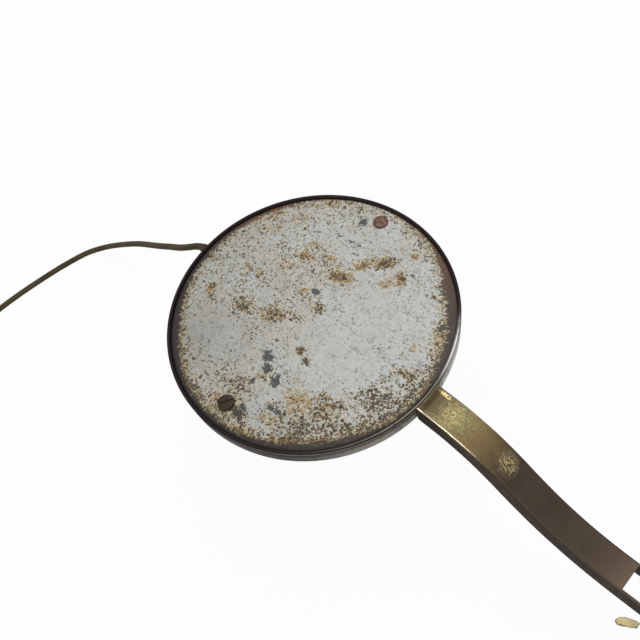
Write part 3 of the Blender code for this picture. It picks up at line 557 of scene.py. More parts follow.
def plate_look(name):
    """White paint on thin iron: hairlines, rust pits with yellow halos, bare metal and stains, with broad
    patches of painted shade and, in the corner at the lip, painted shade with some dirt.
    """
    look = Look(name)
    ragged = look.wobbled(1.1, 0.9)
    fine = look.noise(0.95, 3, 0.62)
    mid = look.noise(2.3, 4, 0.64, shift=(0.2, 0.4, 0.1))
    coarse = look.noise(7, 4, 0.6, warp=0.4)
    cloud = look.noise(26, 3, 0.55, shift=(0.7, 0.1, 0.3))
    pitting, ochre, bare = look.field("pitting"), look.field("ochre"), look.field("bare")
    grey, dim = look.field("grey"), look.field("dim")

    paint = look.mix(look.mask(cloud, 0.38, 0.62), PAINT_COOL, PAINT_WARM)
    paint = look.mix(look.times(look.mask(mid, 0.44, 0.66), 0.30), paint, PAINT_DULL)
    paint = look.mix(look.times(look.mask(fine, 0.52, 0.72), 0.35), paint, (0.21, 0.21, 0.19))
    # painted shade: broad patches where the paint is darkened to stand for shade
    paint = look.mix(dim, paint, (0.13, 0.125, 0.105))

    hairs = None
    for turn, shift in ((12, (0.11, 0.3, 0)), (57, (0.5, 0.2, 0)), (98, (0.9, 0.7, 0)), (146, (0.2, 0.9, 0))):
        bent = look.wobbled(17, 11)
        mapped = look.make("ShaderNodeMapping", {"Vector": bent, "Rotation": (0, 0, radians(turn)),
                                                 "Scale": (0.10, 1, 1), "Location": shift})
        ridge = look.make("ShaderNodeMath", {0: look.sum(look.noise(3.4, 1, 0.5, mapped), -0.5)},
                          operation="ABSOLUTE")
        strand = look.times(look.mask(ridge, 0.016, 0.003),
                            look.mask(look.noise(8, 2, 0.5, shift=shift), 0.53, 0.62))
        hairs = look.most(hairs, strand) if hairs else strand
    crack = look.mask(look.cells(8, "DISTANCE_TO_EDGE", look.wobbled(5, 7)), 0.028, 0.008)
    hairs = look.most(hairs, look.times(crack, look.mask(look.noise(5, 2, shift=(0.4, 0.4, 0)), 0.50, 0.56)))
    paint = look.mix(look.times(hairs, 0.55), paint, (0.085, 0.085, 0.075))

    level = look.sum(pitting, look.times(look.sum(coarse, -0.5), 0.7), look.times(look.sum(mid, -0.5), 0.6))
    seed = look.sum(look.noise(1.3, 3, 0.7, look.wobbled(3.0, 1.5)), look.times(level, 0.19))
    small, small_halo = look.dots(1.35, look.sum(look.times(level, 0.80), -0.05), 0.35, ragged)
    large, large_halo = look.dots(2.9, look.sum(look.times(level, 0.80), -0.14), 0.30, ragged, (0.3, 0.1, 0))
    tiny, _ = look.dots(0.85, look.sum(look.times(level, 0.30), 0.06), 0.28, ragged, (0.1, 0.5, 0))
    yellow = look.most(look.times(small_halo, 0.7), look.times(large_halo, 0.9))
    yellow = look.most(yellow, look.times(look.mask(seed, 0.575, 0.640), 0.8))
    yellow = look.most(yellow, look.mask(look.sum(pitting, ochre, look.times(look.sum(mid, -0.5), 2.0)),
                                         0.40, 1.30))
    colour = look.mix(look.times(yellow, 0.75), paint, YELLOW)
    stain = look.sum(ochre, look.times(look.sum(mid, -0.5), 2.6), look.times(look.sum(fine, -0.5), 1.6))
    stained = look.mix(look.mask(look.sum(stain, look.times(look.sum(fine, -0.5), 1.6)), 0.70, 1.20),
                       OCHRE, RUST)
    colour = look.mix(look.times(look.mask(stain, 0.36, 0.66), 0.9), colour, stained)
    colour = look.mix(look.times(tiny, 0.65), colour, (0.06, 0.055, 0.045))
    brown = look.mix(look.mask(mid, 0.40, 0.60), (0.010, 0.008, 0.006), (0.075, 0.036, 0.015))
    pits = look.most(look.most(small, large), look.mask(seed, 0.640, 0.675))
    colour = look.mix(look.times(pits, 0.92), colour, brown)
    chips = look.mask(look.sum(grey, look.times(look.sum(mid, -0.5), 1.5),
                               look.times(look.sum(fine, -0.5), 1.2)), 0.42, 0.56)
    colour = look.mix(look.times(chips, 0.9), colour,
                      look.mix(fine, (0.014, 0.015, 0.016), (0.060, 0.063, 0.062)))
    edge = look.sum(look.times(bare, 6.0), look.times(look.sum(mid, -0.5), 8.0),
                    look.times(look.sum(fine, -0.5), 7.0))
    fringe = look.mask(edge, -2.4, 0.0)
    colour = look.mix(look.times(fringe, 0.5), colour, look.mix(look.mask(coarse, 0.4, 0.6), OCHRE, RUST))
    metal = look.mix(look.mask(coarse, 0.40, 0.64), (0.060, 0.042, 0.036), (0.095, 0.060, 0.040))
    metal = look.mix(look.times(look.mask(fine, 0.48, 0.66), 0.8), metal, (0.020, 0.014, 0.013))
    metal = look.mix(look.times(look.field("red"), look.mask(mid, 0.38, 0.6)), metal, (0.17, 0.072, 0.030))
    metal = look.mix(look.times(look.field("soot"), 0.75), metal, (0.014, 0.010, 0.009))
    # painted shadow with some dirt: near black in the corner where the plate meets the lip
    metal = look.mix(look.field("lip_shadow_and_dirt"), metal, (0.008, 0.006, 0.005))
    margin = look.most(look.mask(edge, -0.5, 0.7), look.field("lip_shadow_and_dirt"))
    colour = look.mix(margin, colour, metal)
    look.set("Base Color", colour)
    bad = look.most(look.most(pits, margin), chips)
    look.set("Roughness", look.blend(bad, look.sum(0.36, look.times(mid, 0.12)), 0.66))
    low = look.bump(look.sum(look.times(coarse, 0.5), look.times(mid, 0.2)), 0.10, 0.5)
    look.set("Normal", look.bump(look.sum(look.times(bad, -1.0), look.times(fine, 0.12),
                                          look.times(hairs, -0.25)), 0.10, 0.75, low))
    return look.material


PAINT_COOL = (0.500, 0.512, 0.492)
PAINT_WARM = (0.475, 0.466, 0.425)
PAINT_DULL = (0.35, 0.345, 0.315)
YELLOW = (0.45, 0.375, 0.205)
OCHRE = (0.37, 0.245, 0.080)
RUST = (0.125, 0.068, 0.024)


def arm_look(name):
    """The arm's old brass: olive-brown skin, darker at the root and far along, two rubbed places that carry
    painted highlights, a painted glint, sides darkened as painted shade, and worn corners, the lower one
    brightened as a painted highlight.
    """
    look = Look(name)
    cloud, patch, grain = look.noise(22, 4, 0.6, warp=0.5), look.noise(6, 5, 0.6), look.noise(0.8, 3, 0.6)
    axes = look.nodes.new("ShaderNodeSeparateXYZ")
    look.links.new(look.place, axes.inputs[0])
    along = look.times(look.sum(axes.outputs[0], -HEAD.x), 1 / MM)
    facing = look.nodes.new("ShaderNodeSeparateXYZ")
    look.links.new(look.make("ShaderNodeTexCoord", {}, "Normal"), facing.inputs[0])
    # painted shade: the channel's sides, found from the way the surface faces, are marked for darkening
    side = look.mask(look.make("ShaderNodeMath", {0: facing.outputs[1]}, operation="ABSOLUTE"), 0.75, 0.97)

    face = look.mix(look.mask(along, 90, 110), ARM_ROOT, ARM_MIDDLE)
    face = look.mix(look.mask(look.sum(along, look.times(look.sum(patch, -0.5), 10)), 112, 134), face,
                    ARM_FAR)
    face = look.mix(look.times(look.mask(cloud, 0.42, 0.62), 0.30), face, (0.085, 0.060, 0.040))
    face = look.mix(look.times(look.mask(patch, 0.50, 0.70), 0.25), face, (0.12, 0.075, 0.042))
    sanded = look.mask(look.noise(1.15, 3, 0.72, shift=(0.2, 0.1, 0)), 0.44, 0.56)
    # painted highlights: two rubbed places lit as satin patches, and a painted glint near the root
    rubbed_highlight = look.spot(HEAD + Vector((99, 1, -4)) * MM, (15.5, 12.5, 14), 34, 0.2, 0.8)
    small = look.spot(HEAD + Vector((126.8, 0.8, -16)) * MM, (7.2, 7.0, 12), -20, 0.25, 0.8)
    glint = look.spot(HEAD + Vector((85.5, 6.3, -1)) * MM, (6, 1.5, 5), 0, 0.3, 1.2)
    face = look.mix(look.times(rubbed_highlight, look.sum(0.35, look.times(sanded, 0.65))), face, ARM_RUBBED_HIGHLIGHT)
    face = look.mix(look.times(small, sanded), face, ARM_GLINT)
    face = look.mix(look.times(glint, sanded), face, ARM_GLINT)
    specks = look.mask(look.noise(1.5, 2, 0.5, shift=(0.6, 0.3, 0)), 0.655, 0.70)
    specks = look.times(specks, look.sum(0.15, look.times(rubbed_highlight, 0.85)))
    face = look.mix(look.times(specks, 0.75), face, (0.030, 0.024, 0.014))
    # painted shade on the sides: dark brown in place of the dark reflection there
    face = look.mix(look.times(side, 0.9), face, look.mix(look.mask(patch, 0.4, 0.65),
                                                          (0.045, 0.028, 0.021), (0.090, 0.058, 0.042)))
    # worn corners, partly polished brass and partly a painted highlight along the lower corner near the root
    corner = look.times(look.field("corner"),
                        look.mask(look.sum(along, look.times(look.sum(patch, -0.5), 14)), 124, 96, 0.05,
                                  1))
    far_corner = look.times(look.field("corner"), look.mask(along, 104, 120, 0, 0.9))
    face = look.mix(far_corner, face, (0.030, 0.021, 0.016))
    face = look.mix(corner, face, (0.98, 0.86, 0.60))
    look.set("Base Color", face)
    look.set("Metallic", 0.92)
    look.set("Roughness", look.sum(look.blend(corner, look.blend(side, 0.40, 0.50), 0.16),
                                   look.times(grain, 0.10)))
    low = look.bump(look.sum(look.times(patch, 0.6), look.times(grain, 0.25)), 0.05, 0.5)
    look.set("Normal", look.bump(look.sum(look.times(specks, -1.0),
                                          look.times(look.times(sanded, rubbed_highlight), 0.3)), 0.05, 0.6, low))
    return look.material


ARM_ROOT = (0.090, 0.070, 0.033)
ARM_MIDDLE = (0.33, 0.228, 0.108)
ARM_FAR = (0.140, 0.102, 0.074)
# colours of the painted highlights and glints on the arm's face
ARM_RUBBED_HIGHLIGHT = (0.42, 0.370, 0.172)
ARM_GLINT = (0.78, 0.62, 0.32)


def case_look(name):
    """The case's brown, nearly black brass, with painted light towards the arm and a painted highlight beside
    it, painted shade under the bead and on the lip's inner side, and rubbed bead edges that carry painted
    glints on the arm's side.
    """
    look = Look(name)
    cloud, patch, grain = look.noise(18, 4, 0.6, warp=0.5), look.noise(5, 5, 0.6), look.noise(0.7, 3, 0.6)
    skin = look.mix(look.mask(cloud, 0.38, 0.64), (0.125, 0.110, 0.100), (0.080, 0.068, 0.060))
    # painted light: the wall is made lighter towards the arm, where light falls on it
    painted_light_near_arm = look.spot(HEAD + Vector((72, -26, -10)) * MM, (62, 52, 30), 0, 0.05)
    skin = look.mix(painted_light_near_arm, skin, (0.52, 0.49, 0.43))
    # painted highlight: a near-white patch on the wall beside the arm
    skin = look.mix(look.spot(HEAD + Vector((75, 28, -10)) * MM, (24, 30, 24), 0, 0.5), skin,
                    (0.92, 0.90, 0.86))
    skin = look.mix(look.times(look.mask(patch, 0.5, 0.68), 0.5), skin, (0.045, 0.034, 0.028))
    # painted shade: darker just under the bead and on the lip's inner side
    skin = look.mix(look.field("grime"), skin, (0.030, 0.022, 0.021))
    # rubbed bead edges, partly real wear and partly painted glints on the arm's side
    rubbed = look.times(look.field("edge"), look.mask(patch, 0.30, 0.5, 0.5, 1))
    look.set("Base Color", look.mix(rubbed, skin, (0.50, 0.44, 0.34)))
    look.set("Metallic", 0.85)
    look.set("Roughness", look.sum(0.33, look.times(look.field("grime"), 0.2), look.times(grain, 0.10)))
    look.set("Normal", look.bump(look.sum(look.times(patch, 0.5), look.times(grain, 0.3)), 0.05, 0.6))
    return look.material


def make_looks():
    looks = {"case": case_look("case_brass"), "arm": arm_look("arm_brass"),
             "stem": brass_look("stem_brass", (0.40, 0.33, 0.17), (0.23, 0.185, 0.10),
                                (0.07, 0.045, 0.03), 0.5),
             "base": brass_look("base_brass", (0.36, 0.30, 0.165), (0.21, 0.17, 0.10),
                                (0.06, 0.04, 0.028), 0.6),
             "hidden": brass_look("inner_brass", (0.40, 0.31, 0.15), (0.26, 0.19, 0.10),
                                  (0.07, 0.045, 0.03), 0.4), "plate": plate_look("plate_paint"),
             "pan": moulded_look("reflector_paint", (0.62, 0.61, 0.56), 0.34, 0.12, 0.02,
                                 (0.45, 0.40, 0.28)),
             "screw_a": screw_look("copper_screw", (0.175, 0.082, 0.050), (0.070, 0.050, 0.038), 0.6),
             "screw_b": screw_look("dark_screw", (0.066, 0.036, 0.019), (0.022, 0.014, 0.009), 0.6),
             "screw": screw_look("brown_screw", (0.16, 0.12, 0.075), (0.07, 0.045, 0.028), 0.4),
             "steel": steel_look("worn_steel", (0.42, 0.40, 0.37), (0.16, 0.085, 0.04), 0.22),
             "chrome": steel_look("tube_steel", (0.50, 0.48, 0.45), (0.17, 0.10, 0.05), 0.12, 0.22),
             "iron": steel_look("cast_iron", (0.09, 0.085, 0.08), (0.10, 0.05, 0.025), 0.5, 0.6),
             "glass": glass_look("mirror_glass_look", (0.97, 0.99, 0.98)),
             "frosted": glass_look("frosted_glass_look", (0.86, 0.87, 0.83), 0.42, 0.05, 0.35),
             "silver": silver_look("silvering_look"),
             "rubber": moulded_look("rubber_look", (0.036, 0.030, 0.025), 0.66, 0.35, 0.03,
                                    (0.10, 0.085, 0.065)),
             "sleeve": moulded_look("sleeve_look", (0.060, 0.043, 0.018), 0.6, 0.3, 0.03,
                                    (0.085, 0.066, 0.036)),
             "bakelite": moulded_look("bakelite_look", (0.052, 0.026, 0.016), 0.27, 0.5, 0.015,
                                      (0.10, 0.07, 0.05)),
             "fibre": moulded_look("fibre_look", (0.24, 0.115, 0.055), 0.78, 0.35, 0.06),
             "tie": moulded_look("tie_look", (0.30, 0.24, 0.15), 0.8, 0.3, 0.08),
             "felt": felt_look("felt_look", (0.035, 0.085, 0.05)), "flex": flex_look("flex_look"), }
    return looks


# ---------------------------------------------------------------- cord

# Flat twin flex from the gland to the coil, then from the coil to the plug, in metres. The first point is
# inside the sleeve; the others are the CAD's.
CORD_ROUTE = [(-0.4255, -0.0028, 0.0899), (-0.4282, -0.0035, 0.0889),
              (-0.433, -0.0048, 0.087), (-0.440, -0.007, 0.0828),
              (-0.449, -0.0088, 0.0769), (-0.4614, -0.0098, 0.0688), (-0.4751, -0.0109, 0.0594),
              (-0.4913, -0.0116, 0.0482), (-0.5079, -0.0126, 0.0369), (-0.5227, -0.0145, 0.0268),
              (-0.5372, -0.0174, 0.0172), (-0.5496, -0.0214, 0.0098), (-0.5593, -0.0268, 0.0048),
              (-0.5658, -0.0332, 0.0025), (-0.570, -0.0416, 0.0019), (-0.5746, -0.057, 0.0019),
              (-0.5785, -0.0742, 0.0019), (-0.5818, -0.0918, 0.0019), (-0.584, -0.1092, 0.0019),
              (-0.5845, -0.124, 0.0019), (-0.5845, -0.1386, 0.0019)]
TAIL_ROUTE = [(-0.5868, -0.175, 0.0105), (-0.5868, -0.181, 0.0096), (-0.5868, -0.188, 0.0082),
              (-0.5868, -0.194, 0.0072), (-0.5868, -0.198, 0.0069)]
COIL = Vector((-0.6141, -0.155, 0))
COIL_RADII = (30.0 * MM, 20.0 * MM, 27.3 * MM)      # outermost turn, innermost turn, and where it leaves
COIL_LAYER = 3.1 * MM
COIL_TURNS = 10
COIL_POINTS = 36                    # for each turn
FLEX_WIDTH, FLEX_THICK = 4.4 * MM, 3.1 * MM


def coil_line():
    """Three flat layers of three turns, wound in, out and in again, and one turn over them to leave."""
    outer, inner, leave = COIL_RADII
    line = []
    for k in range(COIL_TURNS * COIL_POINTS + 1):
        turn = k / COIL_POINTS
        layer = min(int(turn // 3), 3)
        part = turn - 3 * layer
        first, last = ((outer, inner), (inner, outer), (outer, inner), (inner, leave))[layer]
        radius = first + (last - first) * min(part / (2 if layer < 3 else 1), 1)
        climb = step_up(part, 2.72, 3.0) if layer < 3 else 0
        height = FLEX_THICK / 2 + 0.1 * MM + COIL_LAYER * (layer + climb)
        angle = 2 * pi * turn
        line.append(COIL + Vector((radius * cos(angle), -radius * sin(angle), height)))
    return line


def flex_section():
    """Flat twin section with a shallow groove between its two cores, as (across, up)."""
    half, end = FLEX_WIDTH / 2, FLEX_THICK / 2
    points = []
    for k in range(24):
        angle = 2 * pi * k / 24
        flat = min(1, abs(cos(angle)) * 3.5)
        across = (half - end) * (flat if cos(angle) > 0 else -flat)
        groove = 1 - 0.12 * max(0, 1 - abs(cos(angle)) * 4)
        points.append((across + end * cos(angle), end * sin(angle) * groove))
    return points


def make_cord(looks):
    line = smooth_line(CORD_ROUTE + coil_line() + TAIL_ROUTE, 2)
    section = flex_section()
    bm = bmesh.new()
    rings = []
    for i, point in enumerate(line):
        ahead = (line[min(i + 1, len(line) - 1)] - line[max(i - 1, 0)]).normalized()
        across = ahead.cross(Vector((0, 0, 1))).normalized()
        up = across.cross(ahead)
        rings.append([bm.verts.new(point + across * a + up * b) for a, b in section])
    faces_between(bm, rings)
    bm.faces.new(rings[0][::-1])
    bm.faces.new(rings[-1])
    cord = piece("flat_flex", bm, looks["flex"], "head", ("cord", "cord_tail", "cord_coil"), sharp=60)
    length = sum((b - a).length for a, b in zip(line, line[1:]))
    return cord, line, length


def make_plug(looks):
    """Two-pin bakelite plug lying beside the coil."""
    place = Vector((centre("plug_body").x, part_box("plug_body")[1].y, centre("plug_body").z))
    stations = ((0, 3.4, 3.0), (0.5, 4.2, 3.6), (1.4, 4.6, 3.9), (4, 5.6, 4.4), (8, 6.6, 4.9), (13, 8.4, 5.5),
                (17, 11.4, 6.1), (20.5, 14.6, 6.5), (24, 16.2, 6.65), (27, 16.4, 6.6), (27.4, 16.0, 6.2),
                (28.4, 16.0, 6.2), (28.8, 16.6, 6.6), (34.6, 17.0, 6.7), (35.6, 16.6, 6.4), (36, 15.8, 5.8))
    bm = bmesh.new()
    rings = []
    for back, half_width, half_height in stations:
        outline = []
        for k in range(40):
            angle = 2 * pi * k / 40
            power = 0.62
            outline.append((half_width * abs(cos(angle)) ** power * (1 if cos(angle) >= 0 else -1),
                            half_height * abs(sin(angle)) ** power * (1 if sin(angle) >= 0 else -1)))
        rings.append([bm.verts.new((u * MM, -back * MM, v * MM)) for u, v in outline])
    faces_between(bm, rings)
    bm.faces.new(rings[0])
    bm.faces.new(rings[-1])
    plug = piece("plug_shell", moved(bm, place), looks["bakelite"], "head", ("plug_body",))
    screw = joined(lathe([(0, 0), (2.6, 0), (2.6, 0.5), (1.8, 0.9), (0, 1.0)], 32, 0.2))
    cover = piece("plug_cover_screw", moved(screw, place + Vector((0, -22 * MM, 6.0 * MM))),
                  looks["steel"], "head")
    carve(cover, moved(block((7, 0.8, 1.0), (0, 0, 1.1), 0), place + Vector((0, -22 * MM, 6.0 * MM)),
                       Matrix.Rotation(radians(35), 3, "Z")))
    dress(cover, looks["steel"], "head")
    pins = []
    for name, side in (("a", -1), ("b", 1)):
        pin = lathe([(0, 0), (1.2, 0), (2.0, 0.9), (2.0, 19), (0, 19)], 40, 0.5)
        moved(pin, place + Vector((side * 9.3 * MM, -55.2 * MM, 0)), ALONG_Y)
        pins.append(piece(f"plug_prong_{name}", pin, looks["steel"], "head", (f"plug_pin_{name}",)))
    return [plug, cover, *pins]


def make_tie(looks):
    """Paper strap round the coil's far side."""
    low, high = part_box("cord_tie")
    middle = (low + high) / 2
    width, depth, tall = high.x - low.x, high.y - low.y, high.z - low.z
    outline = []
    for sx, sz in ((1, 1), (-1, 1), (-1, -1), (1, -1)):
        for k in range(5):
            angle = radians(22.5 * k) if sx * sz > 0 else radians(90 - 22.5 * k)
            outline.append((sx * (width / 2 / MM - 2.2 + 2.2 * cos(angle)),
                            sz * (tall / 2 / MM - 2.2 + 2.2 * sin(angle))))
    bm = bmesh.new()
    rings = []
    for inset, y in ((0, -1), (0, 1), (0.7, 1), (0.7, -1)):
        shrink = ((width / 2 / MM - inset) / (width / 2 / MM), (tall / 2 / MM - inset) / (tall / 2 / MM))
        rings.append([bm.verts.new((x * shrink[0] * MM, y * depth / 2, z * shrink[1] * MM))
                      for x, z in outline])
    faces_between(bm, rings + rings[:1])
    return piece("coil_strap", moved(bm, middle), looks["tie"], "head", ("cord_tie",))


def make_grommet(looks):
    """Ribbed rubber sleeve, tapering along the flex."""
    profile = [(2.3, 73), (3.4, 73), (3.6, 74), (3.6, 80.0), (2.75, 80.3)]
    for k in range(6):
        start, wide = 80.6 + k * 1.15, 2.66 - k * 0.03
        profile += [(wide - 0.12, start), (wide - 0.12, start + 0.35), (wide, start + 0.5),
                    (wide, start + 0.95)]
    profile += [(2.42, 87.9), (2.3, 87.9)]
    bm = at_head(moved(lathe(profile, 64, 0.15), (0, 0, 0), ALONG_X), GLAND, (0, 0, 0))
    moved(bm, (0, 0, -9 * MM))
    return piece("cord_sleeve", bm, looks["sleeve"], "head", ("cord_grommet",))


# ---------------------------------------------------------------- head

def make_case(looks):
    """Spun brass case: a rolled lip, a fine groove below it, a straight wall and a stepped shoulder."""
    outer = [(77.9, 0.0 - 2.6), (78.1, -0.9), (78.5, -0.3), (79.0, -0.05), (79.5, -0.15), (79.9, -0.6),
             (80.0, -1.1), (79.85, -1.6), (79.45, -1.95), (79.45, -2.25), (79.75, -2.5), (79.85, -2.9),
             (79.85, -3.5), (79.85, -5), (79.85, -7), (79.85, -10.4), (79.6, -11.6), (79.0, -12.8),
             (77.6, -14.4), (75.6, -16.1), (73.2, -17.9), (71.4, -19.2), (70.4, -20.4), (69.95, -21.6),
             (69.8, -22.6), (69.8, -25.7), (69.5, -26), (60, -26), (60, -24.8), (68.6, -24.8),
             (68.6, -22.2), (69.3, -20.2), (71.0, -18.2), (74.0, -16.2), (76.8, -13.9), (78.2, -12.0),
             (78.6, -10.0), (78.6, -3.2)]
    case = raw_object("case_shell", at_head(lathe(outer, 180, 0.12)))
    for direction, height, radius in ((GLAND, -9.0, 3.9), (SWITCH, -8.6, 2.8)):
        hole = moved(rod(radius, 14, 48, 0), (70 * MM, 0, height * MM), ALONG_X)
        carve(case, at_head(hole, direction))
    dress(case, looks["case"], "head", ("head_case",), 30)
    points = (np.array([v.co for v in case.data.vertices], float) - np.array(HEAD)) / MM
    radius, height = np.hypot(points[:, 0], points[:, 1]), points[:, 2]
    angle = np.arctan2(points[:, 1], points[:, 0])
    # bright lip and bead edges: partly rubbed brass, partly painted glints, strongest on the arm's side
    crest = np.exp(-((height + 0.1) / 0.25) ** 2 - ((radius - 79.3) / 0.45) ** 2)
    crest = crest * near_direction(angle, -12, 24) * 0.65
    bead = np.exp(-((height + 2.6) / 0.28) ** 2) * (radius > 79.6)
    bead = bead * (0.25 + 0.65 * near_direction(angle, -25, 45))
    # painted shade: darker towards the top of the wall under the bead, and on the lip's inner side
    grime = np.where(radius > 77.5, step_up(height, -6.5, -2.6), 0.6)
    fields = {"edge": np.maximum(crest, bead), "grime": grime * (1 - 0.7 * near_direction(angle, 22, 16))}
    for name, values in fields.items():
        store(case, name, values)


# Wear on the plate, and broad patches of painted shade, in millimetres from its middle: x towards the arm, y
# to the arm's left. Each spot is (x, y, length, width, turn in degrees, amount).
SPOTS = {
    "ochre": [
        (-3, 27, 7, 4.5, 20, 1.0), (3, 41, 7, 3.5, 60, 0.95), (11, 48, 7, 3.5, 50, 0.9),
        (25, 45, 4.5, 3.2, -50, 1.0), (20, 38, 5, 4, 10, 0.75), (-15, 33, 3.5, 3, 0, 0.7),
        (-28, 26, 6, 4, 20, 0.8), (-30, 34, 6, 2.6, 10, 0.6), (-50, 0, 5, 3.5, 20, 0.5),
        (-57, 29, 6, 4, 40, 0.35), (-40, 2, 4, 3, 0, 0.5), (-16, -13, 10, 5, 30, 0.6),
        (1, 5, 6, 4, -60, 0.5), (-12, 9, 4, 2, 30, 0.6), (-33, -18, 7, 5, 30, 0.4),
        (-56, -22, 3, 6, 20, 0.5), (-33, 15, 9, 5, 30, 0.35), (12, -21, 3.5, 2.5, 0, 0.55),
        (31, -41, 11, 8, 10, 0.62), (44, -36, 9, 7, 0, 0.55), (61, 3, 6, 3, 20, 0.55),
        (57, 17, 3.5, 2, 20, 0.5), (18, -71, 6, 3, 15, 0.85), (39, -62, 9, 3, 30, 0.75),
        (52, -52, 6, 3, 40, 0.7), (0, -66, 8.5, 8.5, 0, 0.5), (6, -42, 6, 4, 0, 0.45),
        (23, 61, 3.5, 3, 0, 0.6), (66, 26, 4, 12, 30, 0.55), (52, 48, 4, 9, 35, 0.4),
        (-63, 36, 10, 3, 60, 0.5), (-40, 62, 14, 4, 35, 0.45), (25, -58, 5, 3, 0, 0.6),
        (60, -37, 5, 4, 0, 0.45), (-48, 44, 8, 5, 45, 0.3),
    ],
    "pitting": [
        (-3, 27, 8, 5, 20, 0.7), (4, 42, 8, 4, 60, 0.65), (12, 49, 7, 4, 50, 0.9),
        (26, 46, 5, 3, -50, 0.9), (-28, 25, 5, 4, 0, 0.6), (-41, 1, 4, 3, 20, 0.65),
        (-16, -13, 9, 5, 30, 0.75), (-34, -19, 9, 6, 20, 0.75), (-58, -21, 3.5, 3.5, 0, 1.0),
        (-53, -26, 3, 7, 20, 0.6), (1, 5, 5, 4, -60, 0.75), (-4, -7, 6, 3, 30, 0.6),
        (-14, 5, 6, 3, 30, 0.5), (11, -20, 3.4, 2.6, 0, 1.2), (18, -23, 2.6, 2.2, 0, 1.4),
        (5, -41, 6, 6, 0, 0.6), (62, -18, 15, 15, 0, 0.75), (69, 2, 9, 9, 0, 0.62),
        (50, -44, 20, 12, -35, 0.72), (31, -57, 14, 9, -20, 0.62), (56, -14, 4, 4, 0, 0.9),
        (48, -30, 4, 3, 0, 0.8), (60, -37, 5, 4, 0, 1.0), (39, -61, 8, 3.5, 30, 1.0),
        (18, -72, 5, 2.5, 10, 0.9), (66, 26, 6, 14, 28, 0.55), (53, 48, 5, 11, 40, 0.5),
        (61, 36, 2.8, 3.4, 0, 1.0), (47, 47, 2, 2, 0, 0.9), (9, -65.5, 5, 2.6, 10, 1.5),
        (14, -68, 4, 2, -30, 1.2), (7, -61, 6, 2.5, -15, 0.6), (-8, -58, 6, 5, 0, 0.5),
        (0, -54, 9, 7, 0, 0.75), (-33, -58, 9, 8, 0, 0.35), (61, 3, 5, 3, 20, 0.7),
        (-65, -2, 6, 14, 0, 0.4), (-30, 0, 34, 30, 0, 0.30), (-44, -62, 12, 7, -35, 0.7),
        (0, -70, 20, 6, 0, 0.7), (44, -54, 16, 10, -40, 0.85), (-20, 30, 26, 14, 0, 0.32),
        (8, 72, 3, 2.5, 0, 0.6), (22, 61, 2.5, 2, 0, 0.6),
    ],
    "grey": [
        (-16, 63, 2.6, 3.4, 30, 1.0), (-7, 12, 3.6, 1.6, 20, 1.15), (0, -33, 4.4, 3.2, -20, 1.0),
        (4, -38, 2.6, 4, 20, 0.95), (13, -41, 3, 4.6, 35, 0.95), (3, -48, 1.6, 2.4, 0, 0.95),
        (21, -53, 2.4, 2, 0, 0.85), (26, -53, 3.4, 1.8, 20, 0.9), (48, 55, 5, 6.5, 30, 0.7),
        (21, 70, 4.5, 3, 10, 0.5), (28, 65, 3.4, 2.4, 0, 0.5), (29, 51, 2.4, 1.0, 0, 0.75),
        (43, 6, 3, 1.0, 35, 0.7), (35, -3, 2.2, 0.9, -20, 0.55), (-32, -52, 5, 1.2, 50, 0.6),
        (70, -22, 3.4, 6, -20, 0.5), (62, 36, 2.4, 2.8, 0, 0.8), (9, -66, 3.4, 1.0, -35, 1.05),
        (10, -62, 5, 1.4, -20, 0.8), (-20, -60, 3, 2, 0, 0.5), (-24, -55, 2, 1.4, 0, 0.7),
        (-3, -23, 2.4, 1.2, 30, 0.5),
    ],
    "clean": [
        (34, -10, 18, 13, 0, 1.0), (33, 20, 17, 14, 0, 1.0), (-34, -40, 15, 12, 0, 0.7),
        (-18, 45, 14, 9, 0, 0.6), (12, -4, 8, 8, 0, 0.6), (0, 60, 9, 5, 0, 0.6), (26, -27, 10, 7, 0, 0.6),
    ],
    # patches of painted shade, which darken the paint
    "dim": [
        (-45, -50, 36, 26, 35, 0.42), (-30, 2, 16, 12, 0, 0.16), (0, -56, 14, 10, 0, 0.22),
        (-62, -18, 24, 40, 0, 0.20), (-60, 30, 20, 24, 0, 0.12), (10, -70, 34, 12, 0, 0.20),
        (-25, -25, 22, 16, 0, 0.16), (0, -66, 7, 7, 0, 0.25), (40, -55, 26, 16, -30, 0.16),
    ],
}
# Dotted scratches, as chains of small grey spots between two places.
SCRATCHES = [((-24, 48), (-4, 49), 9, 0.9), ((4, 25), (9, 8), 12, 0.33), ((-44, -52), (-30, -46), 7, 0.6),
             ((-40, -58), (-35, -64), 4, 0.6), ((40, -4), (47, -8), 5, 0.45), ((13, 11), (16, 15), 4, 0.5)]
# How wide the bare margin is round the rim: (direction in degrees, half spread, extra width in millimetres).
MARGIN = [(45, 22, 5.0), (15, 12, 1.6), (-136, 32, 3.6), (-90, 20, 1.4), (-46, 26, 3.2), (102, 28, -2.0),
          (152, 18, 1.8), (180, 14, 1.2)]


def wear_field(x, y, spots):
    total = np.zeros_like(x)
    for spot_x, spot_y, long, wide, turn, amount in spots:
        c, s = cos(radians(turn)), sin(radians(turn))
        u, v = ((x - spot_x) * c + (y - spot_y) * s) / long, ((y - spot_y) * c - (x - spot_x) * s) / wide
        total = np.maximum(total, amount * np.exp(-(u * u + v * v)))
    return total


def near_direction(angle, direction, spread):
    away = (angle - radians(direction) + pi) % (2 * pi) - pi
    return np.exp(-(away / radians(spread)) ** 2)


